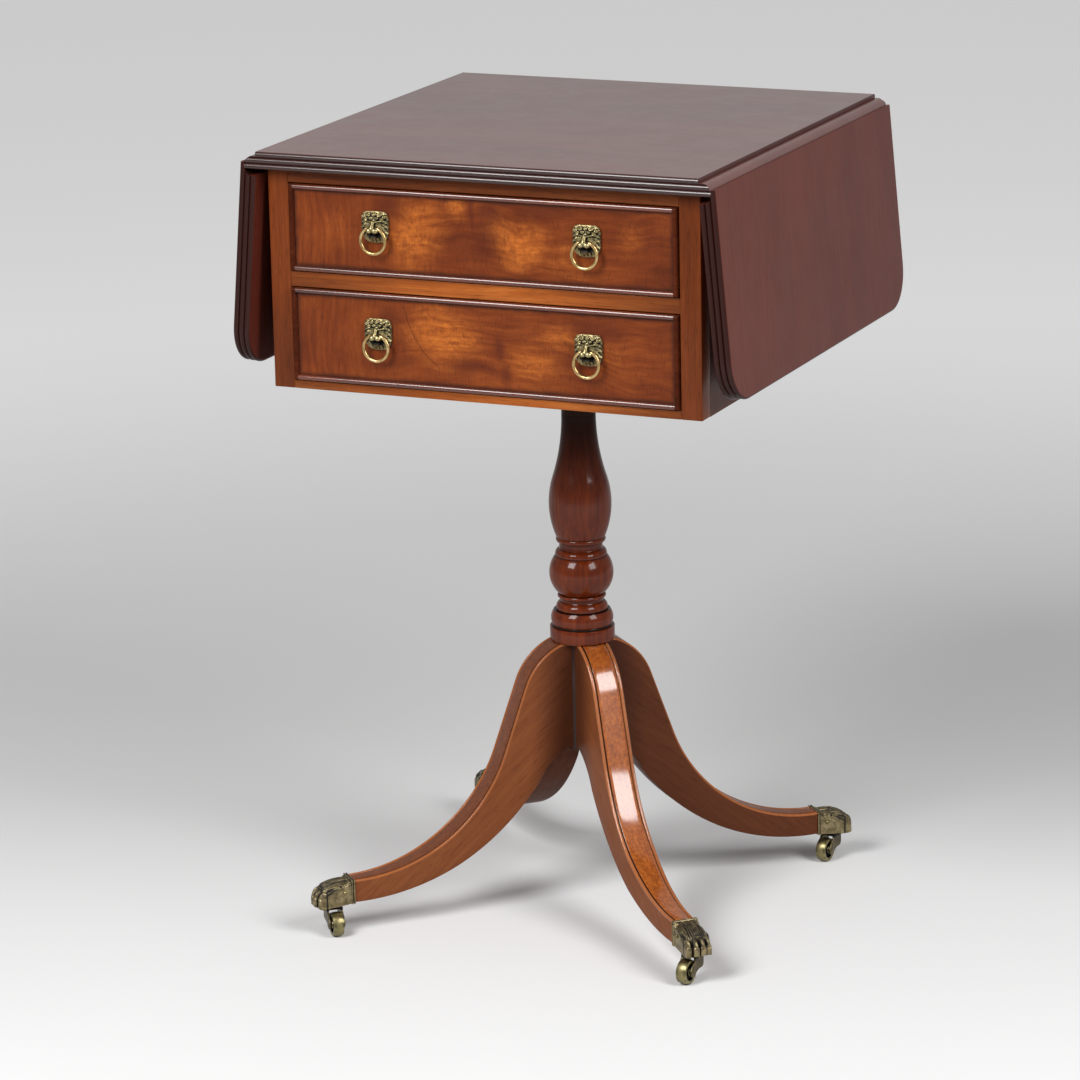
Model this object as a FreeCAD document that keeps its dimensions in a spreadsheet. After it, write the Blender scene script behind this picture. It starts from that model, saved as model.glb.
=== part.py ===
"""Work table: a case with two drawers under a drop-leaf top, on a column with four caster legs.

Frame: X to the right along the front, Y to the back, Z up, origin on the floor
under the column. Millimetres and degrees.
"""
import FreeCAD, Part
import math
import os
import Sketcher
from types import SimpleNamespace

# Driving sizes
SIZES = {
    # table top and rule joint
    "side_overhang": 3.9,
    "front_overhang": 14.6,
    "top_thickness": 15,
    "fillet_step": 4,
    "pivot_cover": 0.4,
    "pivot_out": 2.5,
    "joint_gap": 0.4,
    # leaves
    "leaf_length": 175,
    "leaf_corner": 36,
    "leaf_flare": 5,
    # rule-joint hinges
    "hinge_offset": 150,
    "hinge_length": 30,
    "barrel_radius": 2.6,
    "pin_radius": 1.2,
    "plate_thickness": 1.6,
    "top_flap": 26,
    "leaf_flap": 46,
    "barrel_gap": 0.3,
    "mortise_gap": 0.2,
    # screws
    "hinge_screw_radius": 1.4,
    "hinge_screw_length": 9,
    "hinge_screw_spread": 8,
    "hinge_screw_back": 9,
    "frame_screw_radius": 2,
    "block_screw_bite": 4,
    "rail_screw_bite": 8,
    "rail_screw_offset": 120,
    "head_ratio": 2,
    "hole_gap": 0.1,
    # case
    "case_width": 387.6,
    "case_depth": 388.8,
    "stile_depth": 18,
    "side_thickness": 14,
    "guide_thickness": 4.6,
    "back_thickness": 8,
    "bottom_rail": 7.2,
    "lower_opening": 80.3,
    "middle_rail": 13.1,
    "upper_opening": 75.1,
    "top_rail": 11.8,
    "runner_width": 14,
    "runner_height": 8,
    "guide_height": 20,
    # lopers that carry a raised leaf
    "loper_width": 20,
    "channel_floor": 1.6,
    "loper_length": 165,
    "loper_offset": 95,
    "loper_gap": 0.2,
    "channel_wall": 5,
    "channel_length": 120,
    # drawers
    "drawer_gap": 0.6,
    "slide_gap": 0.3,
    "front_thickness": 18,
    "bead_width": 4.5,
    "bead_proud": 3,
    "bead_flat": 0.1,
    "drawer_side": 8,
    "drawer_end_gap": 22.8,
    "drawer_bottom": 5,
    "bottom_lift": 7,
    "groove_depth": 4,
    "side_drop": 7,
    "back_drop": 4,
    # lion-mask pulls
    "pull_offset": 95,
    "pull_rise": 6.5,
    "mask_width": 25,
    "mask_height": 31,
    "mask_depth": 4.5,
    "muzzle_width": 9.6,
    "muzzle_height": 11,
    "muzzle_depth": 5,
    "muzzle_back": 1,
    "muzzle_drop": 3.5,
    "ring_radius": 11.2,
    "ring_wire": 1.5,
    "ring_clear": 1,
    "ring_drop": 2.5,
    "ring_rise": 1.4,
    "ring_bend": 2.5,
    "pintle_inset": 2,
    "bolt_radius": 2,
    "bolt_seat": 2.5,
    "bolt_tail": 7,
    "nut_radius": 5,
    "nut_height": 4,
    # column turnings, from the hub upwards
    "hub_bottom": 141,
    "hub_height": 97,
    "hub_show": 1.2,
    "drum_height": 12,
    "drum_radius": 28.4,
    "line_height": 1.8,
    "line_radius": 26.4,
    "torus_height": 12.8,
    "torus_foot_radius": 26.2,
    "torus_top_radius": 24.8,
    "torus_swell": 1.8,
    "nick_height": 0.6,
    "nick_radius": 21.8,
    "lip_height": 7,
    "lip_foot_radius": 22.6,
    "lip_top_radius": 19.4,
    "lip_swell": 1.3,
    "cove_height": 3.6,
    "cove_neck_radius": 18.9,
    "cove_hollow": 0.5,
    "collar_height": 3,
    "collar_radius": 20.6,
    "ball_height": 34.8,
    "ball_foot_radius": 19.4,
    "ball_top_radius": 23,
    "ball_swell": 6.9,
    "crest_height": 6.4,
    "crest_foot_radius": 22.6,
    "crest_top_radius": 19.8,
    "crest_swell": 1.2,
    "neck_height": 5.9,
    "neck_radius": 19.6,
    "neck_hollow": 0.6,
    "ring_height": 4.8,
    "ring_foot_radius": 20.6,
    "ring_swell": 1.3,
    "vase_foot_radius": 21.5,
    "belly_height": 53.8,
    "belly_top_radius": 23.7,
    "belly_swell": 4.8,
    "shoulder_height": 55.5,
    "shoulder_hollow": 2.2,
    "shaft_radius": 15,
    "shaft_height": 30.9,
    "tenon_radius": 11,
    # block between column and case
    "block_size": 150,
    "block_thickness": 22,
    "block_chamfer": 6,
    "block_screw_inset": 20,
    # legs
    "leg_width": 28,
    "leg_end_width": 20,
    "leg_reach": 221,
    "leg_taper": 93,
    "leg_end_height": 20.5,
    "leg_end_lift": 3.2,
    "root_lift": 1.5,
    "root_rise": 3,
    "root_swell": 3.5,
    "under_knee_out": 29,
    "under_knee_drop": 29.5,
    "under_hollow": 23.5,
    "knee_out": 38.5,
    "knee_drop": 36,
    "knee_swell": 5.6,
    "slope_out": 20,
    "slope_drop": 55,
    "leg_hollow": 28,
    "tongue_width": 8,
    "tongue_depth": 8,
    "leg_tenon_width": 14,
    "leg_tenon_height": 12,
    "leg_tenon_length": 12.6,
    "wood_gap": 0.05,
    # paw caps
    "cap_length": 36.5,
    "cap_width": 23,
    "cap_height": 24.2,
    "cap_toe_rise": 10,
    "cap_toe_radius": 5,
    "cap_flat": 15,
    "cap_toe_swell": 3.2,
    "collar_width": 3.5,
    "collar_proud": 0.8,
    "cap_pin_radius": 1.6,
    "cap_pin_back": 9.5,
    "cap_pin_head": 0.5,
    # casters
    "caster_back": 17.5,
    "wheel_radius": 10.8,
    "wheel_width": 9.5,
    "wheel_crown": 1,
    "rim_thickness": 3,
    "wheel_hub_radius": 3.5,
    "web_thickness": 4,
    "wheel_side_gap": 0.4,
    "wheel_top_gap": 0.3,
    "trail": 11,
    "axle_radius": 1.5,
    "axle_head": 0.5,
    "running_gap": 0.05,
    "boss_radius": 4,
    "cheek_thickness": 2,
    "crown_thickness": 2,
    "crown_half_length": 5.5,
    "swivel_gap": 0.2,
    "stem_radius": 3.2,
    "stem_length": 10,
    "stem_gap": 0.06,
}

# Directions of the four casters' trails as they stand, in degrees from +X
CASTER_HEADINGS = {"front_left": -50, "front_right": -97, "back_left": -97, "back_right": -97}
LEG_ANGLES = {"front_left": -135, "front_right": -45, "back_left": 135, "back_right": 45}
REED_COUNT = 3
CUT_MARGIN = 1

doc = FreeCAD.newDocument("WorkTable")
sheet = doc.addObject("Spreadsheet::Sheet", "Sizes")
for row, (alias, number) in enumerate(SIZES.items(), 1):
    sheet.set(f"A{row}", alias)
    sheet.set(f"B{row}", str(number))
    sheet.setAlias(f"B{row}", alias)
doc.recompute()


class Size:
    """A size that carries its value and the expression that ties it to the sheet."""

    def __init__(self, value, text):
        self.value = value
        self.text = text

    def __add__(self, other):
        other = sized(other)
        return Size(self.value + other.value, f"({self.text} + {other.text})")

    def __sub__(self, other):
        other = sized(other)
        return Size(self.value - other.value, f"({self.text} - {other.text})")

    def __mul__(self, other):
        other = sized(other)
        return Size(self.value * other.value, f"({self.text} * {other.text})")

    def __truediv__(self, other):
        other = sized(other)
        return Size(self.value / other.value, f"({self.text} / {other.text})")

    def __neg__(self):
        return Size(-self.value, f"(0 - {self.text})")

    def __radd__(self, other):
        return sized(other) + self

    def __rsub__(self, other):
        return sized(other) - self

    def __rmul__(self, other):
        return sized(other) * self


def sized(number):
    """A plain number as a Size."""
    if isinstance(number, Size):
        return number
    return Size(float(number), f"{float(number)}")


def root(square):
    """The square root of a Size."""
    return Size(math.sqrt(square.value), f"sqrt({square.text})")


def sagitta(radius, start, end):
    """How far a minor arc of this radius stands off its chord."""
    run = sized(end[0]) - start[0]
    rise = sized(end[1]) - start[1]
    return radius - root(radius * radius - (run * run + rise * rise) / 4)


S = SimpleNamespace(**{alias: Size(sheet.get(alias), f"Sizes.{alias}") for alias in SIZES})
QUARTER = 1 - math.sqrt(0.5)
Z_AXIS = FreeCAD.Vector(0, 0, 1)
ALONG_X = FreeCAD.Rotation(FreeCAD.Vector(0, 1, 0), 90)
ALONG_Y = FreeCAD.Rotation(FreeCAD.Vector(1, 0, 0), -90)
UPRIGHT = FreeCAD.Rotation()


def turn(angle):
    """A turn about the vertical axis."""
    return FreeCAD.Rotation(Z_AXIS, angle)


def bind(item, **sizes):
    """Tie an object's properties to the sheet."""
    for name, size in sizes.items():
        item.setExpression(name, sized(size).text)


def place(item, x, y, z, rotation=UPRIGHT):
    """Turn an object and tie its position to the sheet."""
    item.Placement = FreeCAD.Placement(FreeCAD.Vector(), rotation)
    for axis, size in zip("xyz", (x, y, z)):
        item.setExpression(f".Placement.Base.{axis}", sized(size).text)
    return item


def box(label, x_span, y_span, z_span):
    """A board between pairs of faces."""
    item = doc.addObject("Part::Box", label)
    (x0, x1), (y0, y1), (z0, z1) = x_span, y_span, z_span
    bind(item, Length=sized(x1) - x0, Width=sized(y1) - y0, Height=sized(z1) - z0)
    return place(item, x0, y0, z0)


def rod(label, radius, length, position, rotation=UPRIGHT):
    """A round rod from a point, along Z or turned."""
    item = doc.addObject("Part::Cylinder", label)
    bind(item, Radius=radius, Height=length)
    return place(item, *position, rotation)


def about(size):
    """A span of this size about zero."""
    return -sized(size) / 2, sized(size) / 2


def fuse(label, *pieces):
    """One solid of several pieces."""
    item = doc.addObject("Part::MultiFuse", label)
    item.Shapes = list(pieces)
    return item


def cut(label, base, *tools):
    """A piece with others taken out of it."""
    item = doc.addObject("Part::Cut", label)
    item.Base = base
    item.Tool = tools[0] if len(tools) == 1 else fuse(f"{label}_tools", *tools)
    return item


def copies(label, source, places):
    """One object made of copies of a piece, each at (x, y, z, rotation)."""
    links = []
    for number, spot in enumerate(places):
        link = doc.addObject("App::Link", f"{label}_{number}")
        link.LinkedObject = source
        link.LinkTransform = True
        links.append(place(link, *spot))
    item = doc.addObject("Part::Compound", label)
    item.Links = links
    return item


def group(label, *pieces):
    """One object made of different pieces."""
    item = doc.addObject("Part::Compound", label)
    item.Links = list(pieces)
    return item


def sketch(body, role, *loops, offset=0, closed=True):
    """A bound drawing on a plane of the body.

    A corner is (x, y), or (x, y, bulge) where an arc arrives that stands off its
    chord by the bulge, to the right of the way the loop runs.
    """
    drawing = body.newObject("Sketcher::SketchObject", f"{body.Name}_sketch")
    support = next(item for item in body.Origin.OriginFeatures if item.Role == role)
    drawing.AttachmentSupport = (support, [""])
    drawing.MapMode = "FlatFace"
    drawing.setExpression(".AttachmentOffset.Base.z", sized(offset).text)
    for loop in loops:
        draw(drawing, [tuple(sized(item) for item in corner) for corner in loop], closed)
    return drawing


def draw(drawing, corners, closed):
    """Add one loop of lines and arcs, with every corner bound to the sheet."""
    pairs = list(zip(corners, corners[1:] + corners[:1]))
    if not closed:
        pairs.pop()
    first = drawing.GeometryCount
    ends = []
    rules = []
    for number, (start, end) in enumerate(pairs, first):
        curve, flipped, centre = edge(start, end)
        drawing.addGeometry(curve)
        ends.append((2, 1) if flipped else (1, 2))
        rules += pin(number, ends[-1][0], start)
        if centre:
            rules.append(centre_rule(number, start, end, centre))
    if not closed:
        rules += pin(first + len(pairs) - 1, ends[-1][1], corners[-1])
    for number in range(len(pairs) if closed else len(pairs) - 1):
        after = (number + 1) % len(pairs)
        joint = Sketcher.Constraint("Coincident", first + number, ends[number][1],
                                    first + after, ends[after][0])
        rules.append((joint, None))
    numbers = drawing.addConstraint([rule for rule, _ in rules])
    for number, (_, size) in zip(numbers, rules):
        if size:
            drawing.setExpression(f"Constraints[{number}]", size.text)


def edge(start, end):
    """The line or arc between two corners, whether it is drawn backwards, and its centre."""
    first = FreeCAD.Vector(start[0].value, start[1].value)
    last = FreeCAD.Vector(end[0].value, end[1].value)
    if len(end) == 2:
        return Part.LineSegment(first, last), False, None
    bulge = end[2]
    run = end[0] - start[0]
    rise = end[1] - start[1]
    chord = root(run * run + rise * rise)
    back = (chord * chord / 4 - bulge * bulge) / (2 * bulge * chord)
    centre = ((start[0] + end[0]) / 2 - rise * back, (start[1] + end[1]) / 2 + run * back)
    right = FreeCAD.Vector(rise.value, -run.value) / chord.value
    middle = (first + last) / 2 + right * bulge.value
    if bulge.value > 0:
        return Part.Arc(first, middle, last), False, centre
    return Part.Arc(last, middle, first), True, centre


def pin(number, end, corner):
    """The two rules that hold an end of an edge at its corner."""
    return [(Sketcher.Constraint("DistanceX", number, end, corner[0].value), corner[0]),
            (Sketcher.Constraint("DistanceY", number, end, corner[1].value), corner[1])]


def centre_rule(number, start, end, centre):
    """The rule that sets how far an arc stands off its chord."""
    steep = abs(end[0].value - start[0].value) < abs(end[1].value - start[1].value)
    axis, size = ("DistanceX", centre[0]) if steep else ("DistanceY", centre[1])
    return Sketcher.Constraint(axis, number, 3, size.value), size


def body(label):
    """An empty body for drawings and features."""
    return doc.addObject("PartDesign::Body", label)


def pad(owner, drawing, length, side="Symmetric"):
    """Thicken a drawing."""
    feature = owner.newObject("PartDesign::Pad", f"{owner.Name}_pad")
    feature.Profile = drawing
    feature.SideType = side
    bind(feature, Length=length)
    return feature


def pocket(owner, drawing, length):
    """Cut a drawing out of a body, to both sides of its plane."""
    doc.recompute()
    before = owner.Shape.Volume
    feature = owner.newObject("PartDesign::Pocket", f"{owner.Name}_pocket")
    feature.Profile = drawing
    feature.SideType = "Symmetric"
    bind(feature, Length=length)
    doc.recompute()
    if not owner.Shape.Volume < before:
        raise RuntimeError(f"{owner.Name}: a pocket cuts nothing")
    return feature


def revolve(label, corners, role="XZ_Plane"):
    """A turned piece from its half section, about its plane's upright axis."""
    owner = body(label)
    drawing = sketch(owner, role, corners)
    feature = owner.newObject("PartDesign::Revolution", f"{label}_turning")
    feature.Profile = drawing
    feature.ReferenceAxis = (drawing, ["V_Axis"])
    feature.Angle = 360
    return owner


def screw(label, radius, length, gap=0):
    """A countersunk screw that points up, its head's face at zero, or the hole for it."""
    shank = radius + gap
    head = radius * S.head_ratio + gap
    rise = head - shank
    tip = length - radius + gap
    corners = [(0, 0), (head, 0), (shank, rise), (shank, tip), (0, length + gap)]
    return revolve(label, corners)


# Levels, from the floor up
drum_bottom = S.hub_bottom + S.hub_height
block_bottom = (drum_bottom + S.drum_height + S.line_height + S.torus_height + S.nick_height
                + S.lip_height + S.cove_height + S.collar_height + S.ball_height + S.crest_height
                + S.neck_height + S.ring_height + S.belly_height + S.shoulder_height + S.shaft_height)
case_bottom = block_bottom + S.block_thickness
lower_floor = case_bottom + S.bottom_rail
lower_ceiling = lower_floor + S.lower_opening
upper_floor = lower_ceiling + S.middle_rail
upper_ceiling = upper_floor + S.upper_opening
under_z = upper_ceiling + S.top_rail
top_z = under_z + S.top_thickness

# Places shared by several pieces
reed = S.top_thickness / (2 * REED_COUNT)
case_half = S.case_width / 2
step_x = case_half + S.side_overhang
top_depth = S.case_depth + 2 * S.front_overhang
top_edge = top_depth / 2 - reed
pivot_x = step_x + S.pivot_out
pivot_lift = S.barrel_radius + S.pivot_cover
pivot_z = under_z + pivot_lift
arc_rise = S.top_thickness - pivot_lift - S.fillet_step
ovolo_radius = root(S.pivot_out * S.pivot_out + arc_rise * arc_rise)
cove_radius = ovolo_radius + S.joint_gap
inner_half = case_half - S.side_thickness
opening_half = inner_half - S.guide_thickness
front_y = -S.case_depth / 2
back_y = S.case_depth / 2
behind_front = front_y + S.stile_depth
before_back = back_y - S.back_thickness
loper_foot = upper_ceiling + S.channel_floor
hub_radius = S.leg_width * math.sqrt(0.5) + S.hub_show
ring_out = S.mask_depth + S.ring_clear + S.ring_wire
block_screw_length = S.block_thickness + S.block_screw_bite
block_screw_offset = S.block_size / 2 - S.block_screw_inset
crown_top = 2 * S.wheel_radius + S.wheel_top_gap + S.crown_thickness
cap_bottom = crown_top + S.swivel_gap
leg_end_z = cap_bottom + S.leg_end_lift
leg_end_top = leg_end_z + S.leg_end_height
FLARE = FreeCAD.Rotation(FreeCAD.Vector(0, 1, 0), -S.leaf_flare.value)
HINGE_SIDES = (S.hinge_offset, -S.hinge_offset)
SIDES = {"right": (1, turn(0)), "left": (-1, turn(180))}


def mirror(span):
    """The same span on the other side of zero."""
    return -sized(span[1]), -sized(span[0])


def reeded(corner, step, outward):
    """Half-round reeds from a corner along a step, one after another."""
    x, y = corner
    return [(x, y + step * number, outward) for number in range(1, REED_COUNT + 1)]


# Hinges: in the hinge's own frame the pin's axis is Y, X points away from the table

barrel_room = S.barrel_radius + S.barrel_gap + S.mortise_gap
flap_start = S.barrel_radius + S.barrel_gap * 2
middle_knuckle = S.hinge_length / 2 - S.barrel_gap
outer_knuckle = (S.hinge_length - middle_knuckle) / 2 - S.barrel_gap
plate_foot = -S.barrel_radius
plate_face = plate_foot + S.plate_thickness


def knuckle(label, length, y):
    """A length of the hinge's barrel."""
    return rod(label, S.barrel_radius, length, (0, y, 0), ALONG_Y)


def pin_bore(label):
    """The hole for the pin, right through the barrel."""
    return rod(label, S.pin_radius + S.running_gap, S.hinge_length + 2 * CUT_MARGIN,
               (0, -S.hinge_length / 2 - CUT_MARGIN, 0), ALONG_Y)


def top_plate():
    """The flap let into the underside of the top, with the middle knuckle."""
    flap = box("top_flap_board", (-S.top_flap, -flap_start), about(S.hinge_length),
               (plate_foot, plate_face))
    tongue = box("top_flap_tongue", (-flap_start, 0), about(middle_knuckle),
                 (plate_foot, plate_face))
    barrel = knuckle("top_flap_knuckle", middle_knuckle, -middle_knuckle / 2)
    solid = fuse("top_flap_solid", flap, tongue, barrel)
    holes = copies("top_flap_holes", hinge_hole, TOP_SCREWS)
    return cut("top_flap_plate", solid, pin_bore("top_flap_bore"), holes)


def leaf_plate():
    """The flap let into the inner face of a leaf, with the two outer knuckles."""
    flap = box("leaf_flap_board", (plate_foot, plate_face), about(S.hinge_length),
               (-S.leaf_flap, -flap_start))
    pieces = [flap]
    outer_end = S.hinge_length / 2
    for name, span in (("near", (-outer_end, outer_knuckle - outer_end)),
                       ("far", (outer_end - outer_knuckle, outer_end))):
        pieces.append(box(f"leaf_flap_{name}_tongue", (plate_foot, plate_face), span,
                          (-flap_start, 0)))
        pieces.append(knuckle(f"leaf_flap_{name}_knuckle", outer_knuckle, span[0]))
    solid = fuse("leaf_flap_solid", *pieces)
    holes = copies("leaf_flap_holes", hinge_hole, LEAF_SCREWS)
    return cut("leaf_flap_plate", solid, pin_bore("leaf_flap_bore"), holes)


def top_mortise():
    """What a hinge takes out of the top: its flap, its barrel and the leaf flap's swing."""
    width = about(S.hinge_length + 2 * S.mortise_gap)
    low = -pivot_lift - CUT_MARGIN
    flap = box("top_mortise_flap", (-S.top_flap - S.mortise_gap, 0), width,
               (low, plate_face + S.hole_gap))
    swing = box("top_mortise_swing", (0, ovolo_radius + CUT_MARGIN), width,
                (low, plate_face + S.mortise_gap))
    barrel = rod("top_mortise_barrel", barrel_room, S.hinge_length + 2 * S.mortise_gap,
                 (0, width[0], 0), ALONG_Y)
    return fuse("top_mortise", flap, swing, barrel)


def leaf_mortise():
    """What a hinge takes out of a leaf: its flap."""
    return box("leaf_mortise", (-pivot_lift - CUT_MARGIN, plate_face + S.hole_gap),
               about(S.hinge_length + 2 * S.mortise_gap), (-S.leaf_flap - S.mortise_gap, 0))


hinge_screw = screw("hinge_screw", S.hinge_screw_radius, S.hinge_screw_length)
hinge_hole = screw("hinge_hole", S.hinge_screw_radius, S.hinge_screw_length, S.hole_gap)
rail_screw_length = S.top_rail + S.rail_screw_bite
rail_screw = screw("rail_screw", S.frame_screw_radius, rail_screw_length)
rail_hole = screw("rail_hole", S.frame_screw_radius, rail_screw_length, S.hole_gap)
block_screw = screw("block_screw", S.frame_screw_radius, block_screw_length)
block_hole = screw("block_hole", S.frame_screw_radius, block_screw_length, S.hole_gap)
BLOCK_SCREWS = [(block_screw_offset * x, block_screw_offset * y, block_bottom, UPRIGHT)
                for x in (1, -1) for y in (1, -1)]
RAIL_SCREWS = [(S.rail_screw_offset * side, front_y + S.stile_depth / 2, upper_ceiling, UPRIGHT)
               for side in (1, -1)]
TOP_SCREWS = [(S.hinge_screw_back - S.top_flap, side * S.hinge_screw_spread, plate_foot, UPRIGHT)
              for side in (1, -1)]
LEAF_SCREWS = [(plate_foot, side * S.hinge_screw_spread, S.hinge_screw_back - S.leaf_flap, ALONG_X)
               for side in (1, -1)]
TOP_HINGES = [(pivot_x * sign, y, pivot_z, rotation)
              for sign, rotation in SIDES.values() for y in HINGE_SIDES]
LEAF_HINGES = [(0, y, 0, UPRIGHT) for y in HINGE_SIDES]


def hinge_nodes():
    """The four hinges' plates, pins and screws, and the screws through the top rail."""
    top_screw_pair = copies("top_screw_pair", hinge_screw, TOP_SCREWS)
    leaf_screw_pair = copies("leaf_screw_pair", hinge_screw, LEAF_SCREWS)
    pin_rod = rod("hinge_pin", S.pin_radius, S.hinge_length, (0, -S.hinge_length / 2, 0), ALONG_Y)
    plate = leaf_plate()
    nodes = [copies("hinge_top_plates", top_plate(), TOP_HINGES),
             group("top_screws", copies("hinge_top_screws", top_screw_pair, TOP_HINGES),
                   copies("rail_screws", rail_screw, RAIL_SCREWS)),
             copies("hinge_pins", pin_rod, TOP_HINGES)]
    for side, (sign, rotation) in SIDES.items():
        hung = [(pivot_x * sign, y, pivot_z, rotation.multiply(FLARE)) for y in HINGE_SIDES]
        nodes.append(copies(f"{side}_leaf_hinge_plates", plate, hung))
        nodes.append(copies(f"{side}_leaf_hinge_screws", leaf_screw_pair, hung))
    return nodes


# Top and leaves


def table_top():
    """The top: reeds along the front and back edges, an ovolo and a step along each side."""
    blank = body("top_blank")
    back_foot = (top_edge, under_z)
    front_head = (-top_edge, top_z)
    outline = [back_foot]
    outline += reeded(back_foot, 2 * reed, reed)
    outline.append(front_head)
    outline += reeded(front_head, -2 * reed, reed)
    pad(blank, sketch(blank, "YZ_Plane", outline), 2 * (pivot_x + ovolo_radius))
    pocket(blank, sketch(blank, "XZ_Plane", rule_joint(1), rule_joint(-1)), 2 * top_depth)
    mortises = copies("top_mortises", top_mortise(), TOP_HINGES)
    screw_pair = copies("top_hole_pair", hinge_hole, TOP_SCREWS)
    screw_holes = copies("top_screw_holes", screw_pair, TOP_HINGES)
    rail_holes = copies("top_rail_holes", rail_hole, RAIL_SCREWS)
    return cut("table_top", blank, mortises, screw_holes, rail_holes)


def rule_joint(sign):
    """The space beside the top that a leaf's hollow edge turns in."""
    foot = pivot_x + root(ovolo_radius * ovolo_radius - pivot_lift * pivot_lift)
    far = pivot_x + ovolo_radius + CUT_MARGIN
    low = under_z - CUT_MARGIN
    high = top_z + CUT_MARGIN
    start = (foot, under_z)
    end = (step_x, top_z - S.fillet_step)
    bulge = sagitta(ovolo_radius, start, end)
    right = [(step_x, high), (far, high), (far, low), (foot, low), start, end + (bulge,)]
    return [(x * sign, y, *(item * sign for item in arc)) for x, y, *arc in right]


def leaf():
    """A leaf that hangs straight down from the pivot: X outward, Z up."""
    plate = body("leaf_blank")
    lip = S.pivot_out - S.joint_gap
    foot = reed - S.leaf_length
    bend = S.leaf_corner - reed
    swell = bend * QUARTER
    path = [(-top_edge, lip), (-top_edge, foot + bend), (bend - top_edge, foot, swell),
            (top_edge - bend, foot), (top_edge, foot + bend, swell), (top_edge, lip)]
    inner = -pivot_lift
    board = sketch(plate, "YZ_Plane", path, offset=inner)
    pad(plate, board, S.top_thickness, "One side")
    spine = sketch(plate, "YZ_Plane", path, offset=inner, closed=False)
    bead = leaf_reeds(plate, lip, inner)
    edging = plate.newObject("PartDesign::AdditivePipe", "leaf_reeding")
    edging.Profile = bead
    edging.Spine = (spine, [f"Edge{number}" for number in range(1, len(path))])
    doc.recompute()
    pocket(plate, circle(plate, "XZ_Plane", cove_radius), 2 * top_depth)
    mortises = copies("leaf_mortises", leaf_mortise(), LEAF_HINGES)
    screw_pair = copies("leaf_hole_pair", hinge_hole, LEAF_SCREWS)
    screw_holes = copies("leaf_screw_holes", screw_pair, LEAF_HINGES)
    return cut("leaf_board", plate, mortises, screw_holes)


def leaf_reeds(plate, lip, inner):
    """The section of the reeds round a leaf, at the upper end of its front edge."""
    root_y = reed - top_edge
    start = (inner, -top_edge)
    corners = [(inner, root_y), start]
    corners += [(inner + 2 * reed * number, -top_edge, reed) for number in range(1, REED_COUNT + 1)]
    corners.append((inner + S.top_thickness, root_y))
    return sketch(plate, "XY_Plane", corners, offset=lip)


def circle(owner, role, radius, offset=0):
    """A bound circle about the origin of a plane."""
    drawing = sketch(owner, role, offset=offset)
    drawing.addGeometry(Part.Circle(FreeCAD.Vector(), Z_AXIS, radius.value))
    drawing.addConstraint(Sketcher.Constraint("Coincident", 0, 3, -1, 1))
    number = drawing.addConstraint(Sketcher.Constraint("Radius", 0, radius.value))
    drawing.setExpression(f"Constraints[{number}]", radius.text)
    return drawing


def top_nodes():
    """The top and its two leaves, hung on their pivots."""
    board = leaf()
    nodes = [table_top()]
    for side, (sign, rotation) in SIDES.items():
        nodes.append(copies(f"{side}_leaf", board,
                            [(pivot_x * sign, 0, pivot_z, rotation.multiply(FLARE))]))
    return nodes


# Case

LOPERS = {"front_right": (1, -1), "back_right": (1, 1), "front_left": (-1, -1), "back_left": (-1, 1)}


def side_span(sign, inner, outer):
    """A span across the table on its right (1) or left (-1) half."""
    span = (inner, outer)
    return span if sign > 0 else mirror(span)


def loper_row(y_sign, width):
    """A span along the table about the front (-1) or back (1) lopers."""
    middle = S.loper_offset * y_sign
    return middle - sized(width) / 2, middle + sized(width) / 2


def case_sides():
    """The side boards, notched for the lopers."""
    slot_height = (loper_foot - S.loper_gap, under_z + CUT_MARGIN)
    nodes = []
    for side, (sign, _) in SIDES.items():
        board = box(f"{side}_side_board", side_span(sign, inner_half, case_half),
                    (behind_front, back_y), (case_bottom, under_z))
        notches = [box(f"{side}_side_notch", side_span(sign, inner_half - CUT_MARGIN,
                                                        case_half + CUT_MARGIN),
                       loper_row(y_sign, S.loper_width + 2 * S.loper_gap), slot_height)
                   for y_sign in (1, -1)]
        nodes.append(cut(f"{side}_side", board, *notches))
    return nodes


def lopers():
    """Sliding bearers under the top, pushed in, and the channels that hold them."""
    bars = []
    channels = []
    inner_end = case_half - S.loper_length
    height = (loper_foot, under_z - S.wood_gap)
    slot = (loper_foot - S.wood_gap, under_z + CUT_MARGIN)
    for name, (x_sign, y_sign) in LOPERS.items():
        bars.append(box(f"{name}_loper", side_span(x_sign, inner_end, case_half),
                        loper_row(y_sign, S.loper_width), height))
        width = S.loper_width + 2 * S.loper_gap
        ends = side_span(x_sign, inner_half - S.channel_length, inner_half)
        outer = box(f"{name}_channel_block", ends, loper_row(y_sign, width + 2 * S.channel_wall),
                    (upper_ceiling, under_z))
        hollow = box(f"{name}_channel_slot", (ends[0] - CUT_MARGIN, ends[1] + CUT_MARGIN),
                     loper_row(y_sign, width), slot)
        channels.append(cut(f"{name}_channel", outer, hollow))
    return [group("lopers", *bars), group("loper_channels", *channels)]


def runner(side, sign):
    """An upper runner with its guide, and a guide beside the lower drawer."""
    length = (behind_front, before_back)
    ledge = box(f"{side}_ledge", side_span(sign, opening_half - S.runner_width, inner_half),
                length, (upper_floor - S.runner_height, upper_floor))
    guide = box(f"{side}_guide", side_span(sign, opening_half, inner_half), length,
                (upper_floor, upper_floor + S.guide_height))
    lower = box(f"{side}_lower_guide", side_span(sign, opening_half, inner_half), length,
                (lower_floor, lower_floor + S.guide_height))
    return fuse(f"{side}_runner", ledge, guide), lower


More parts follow.
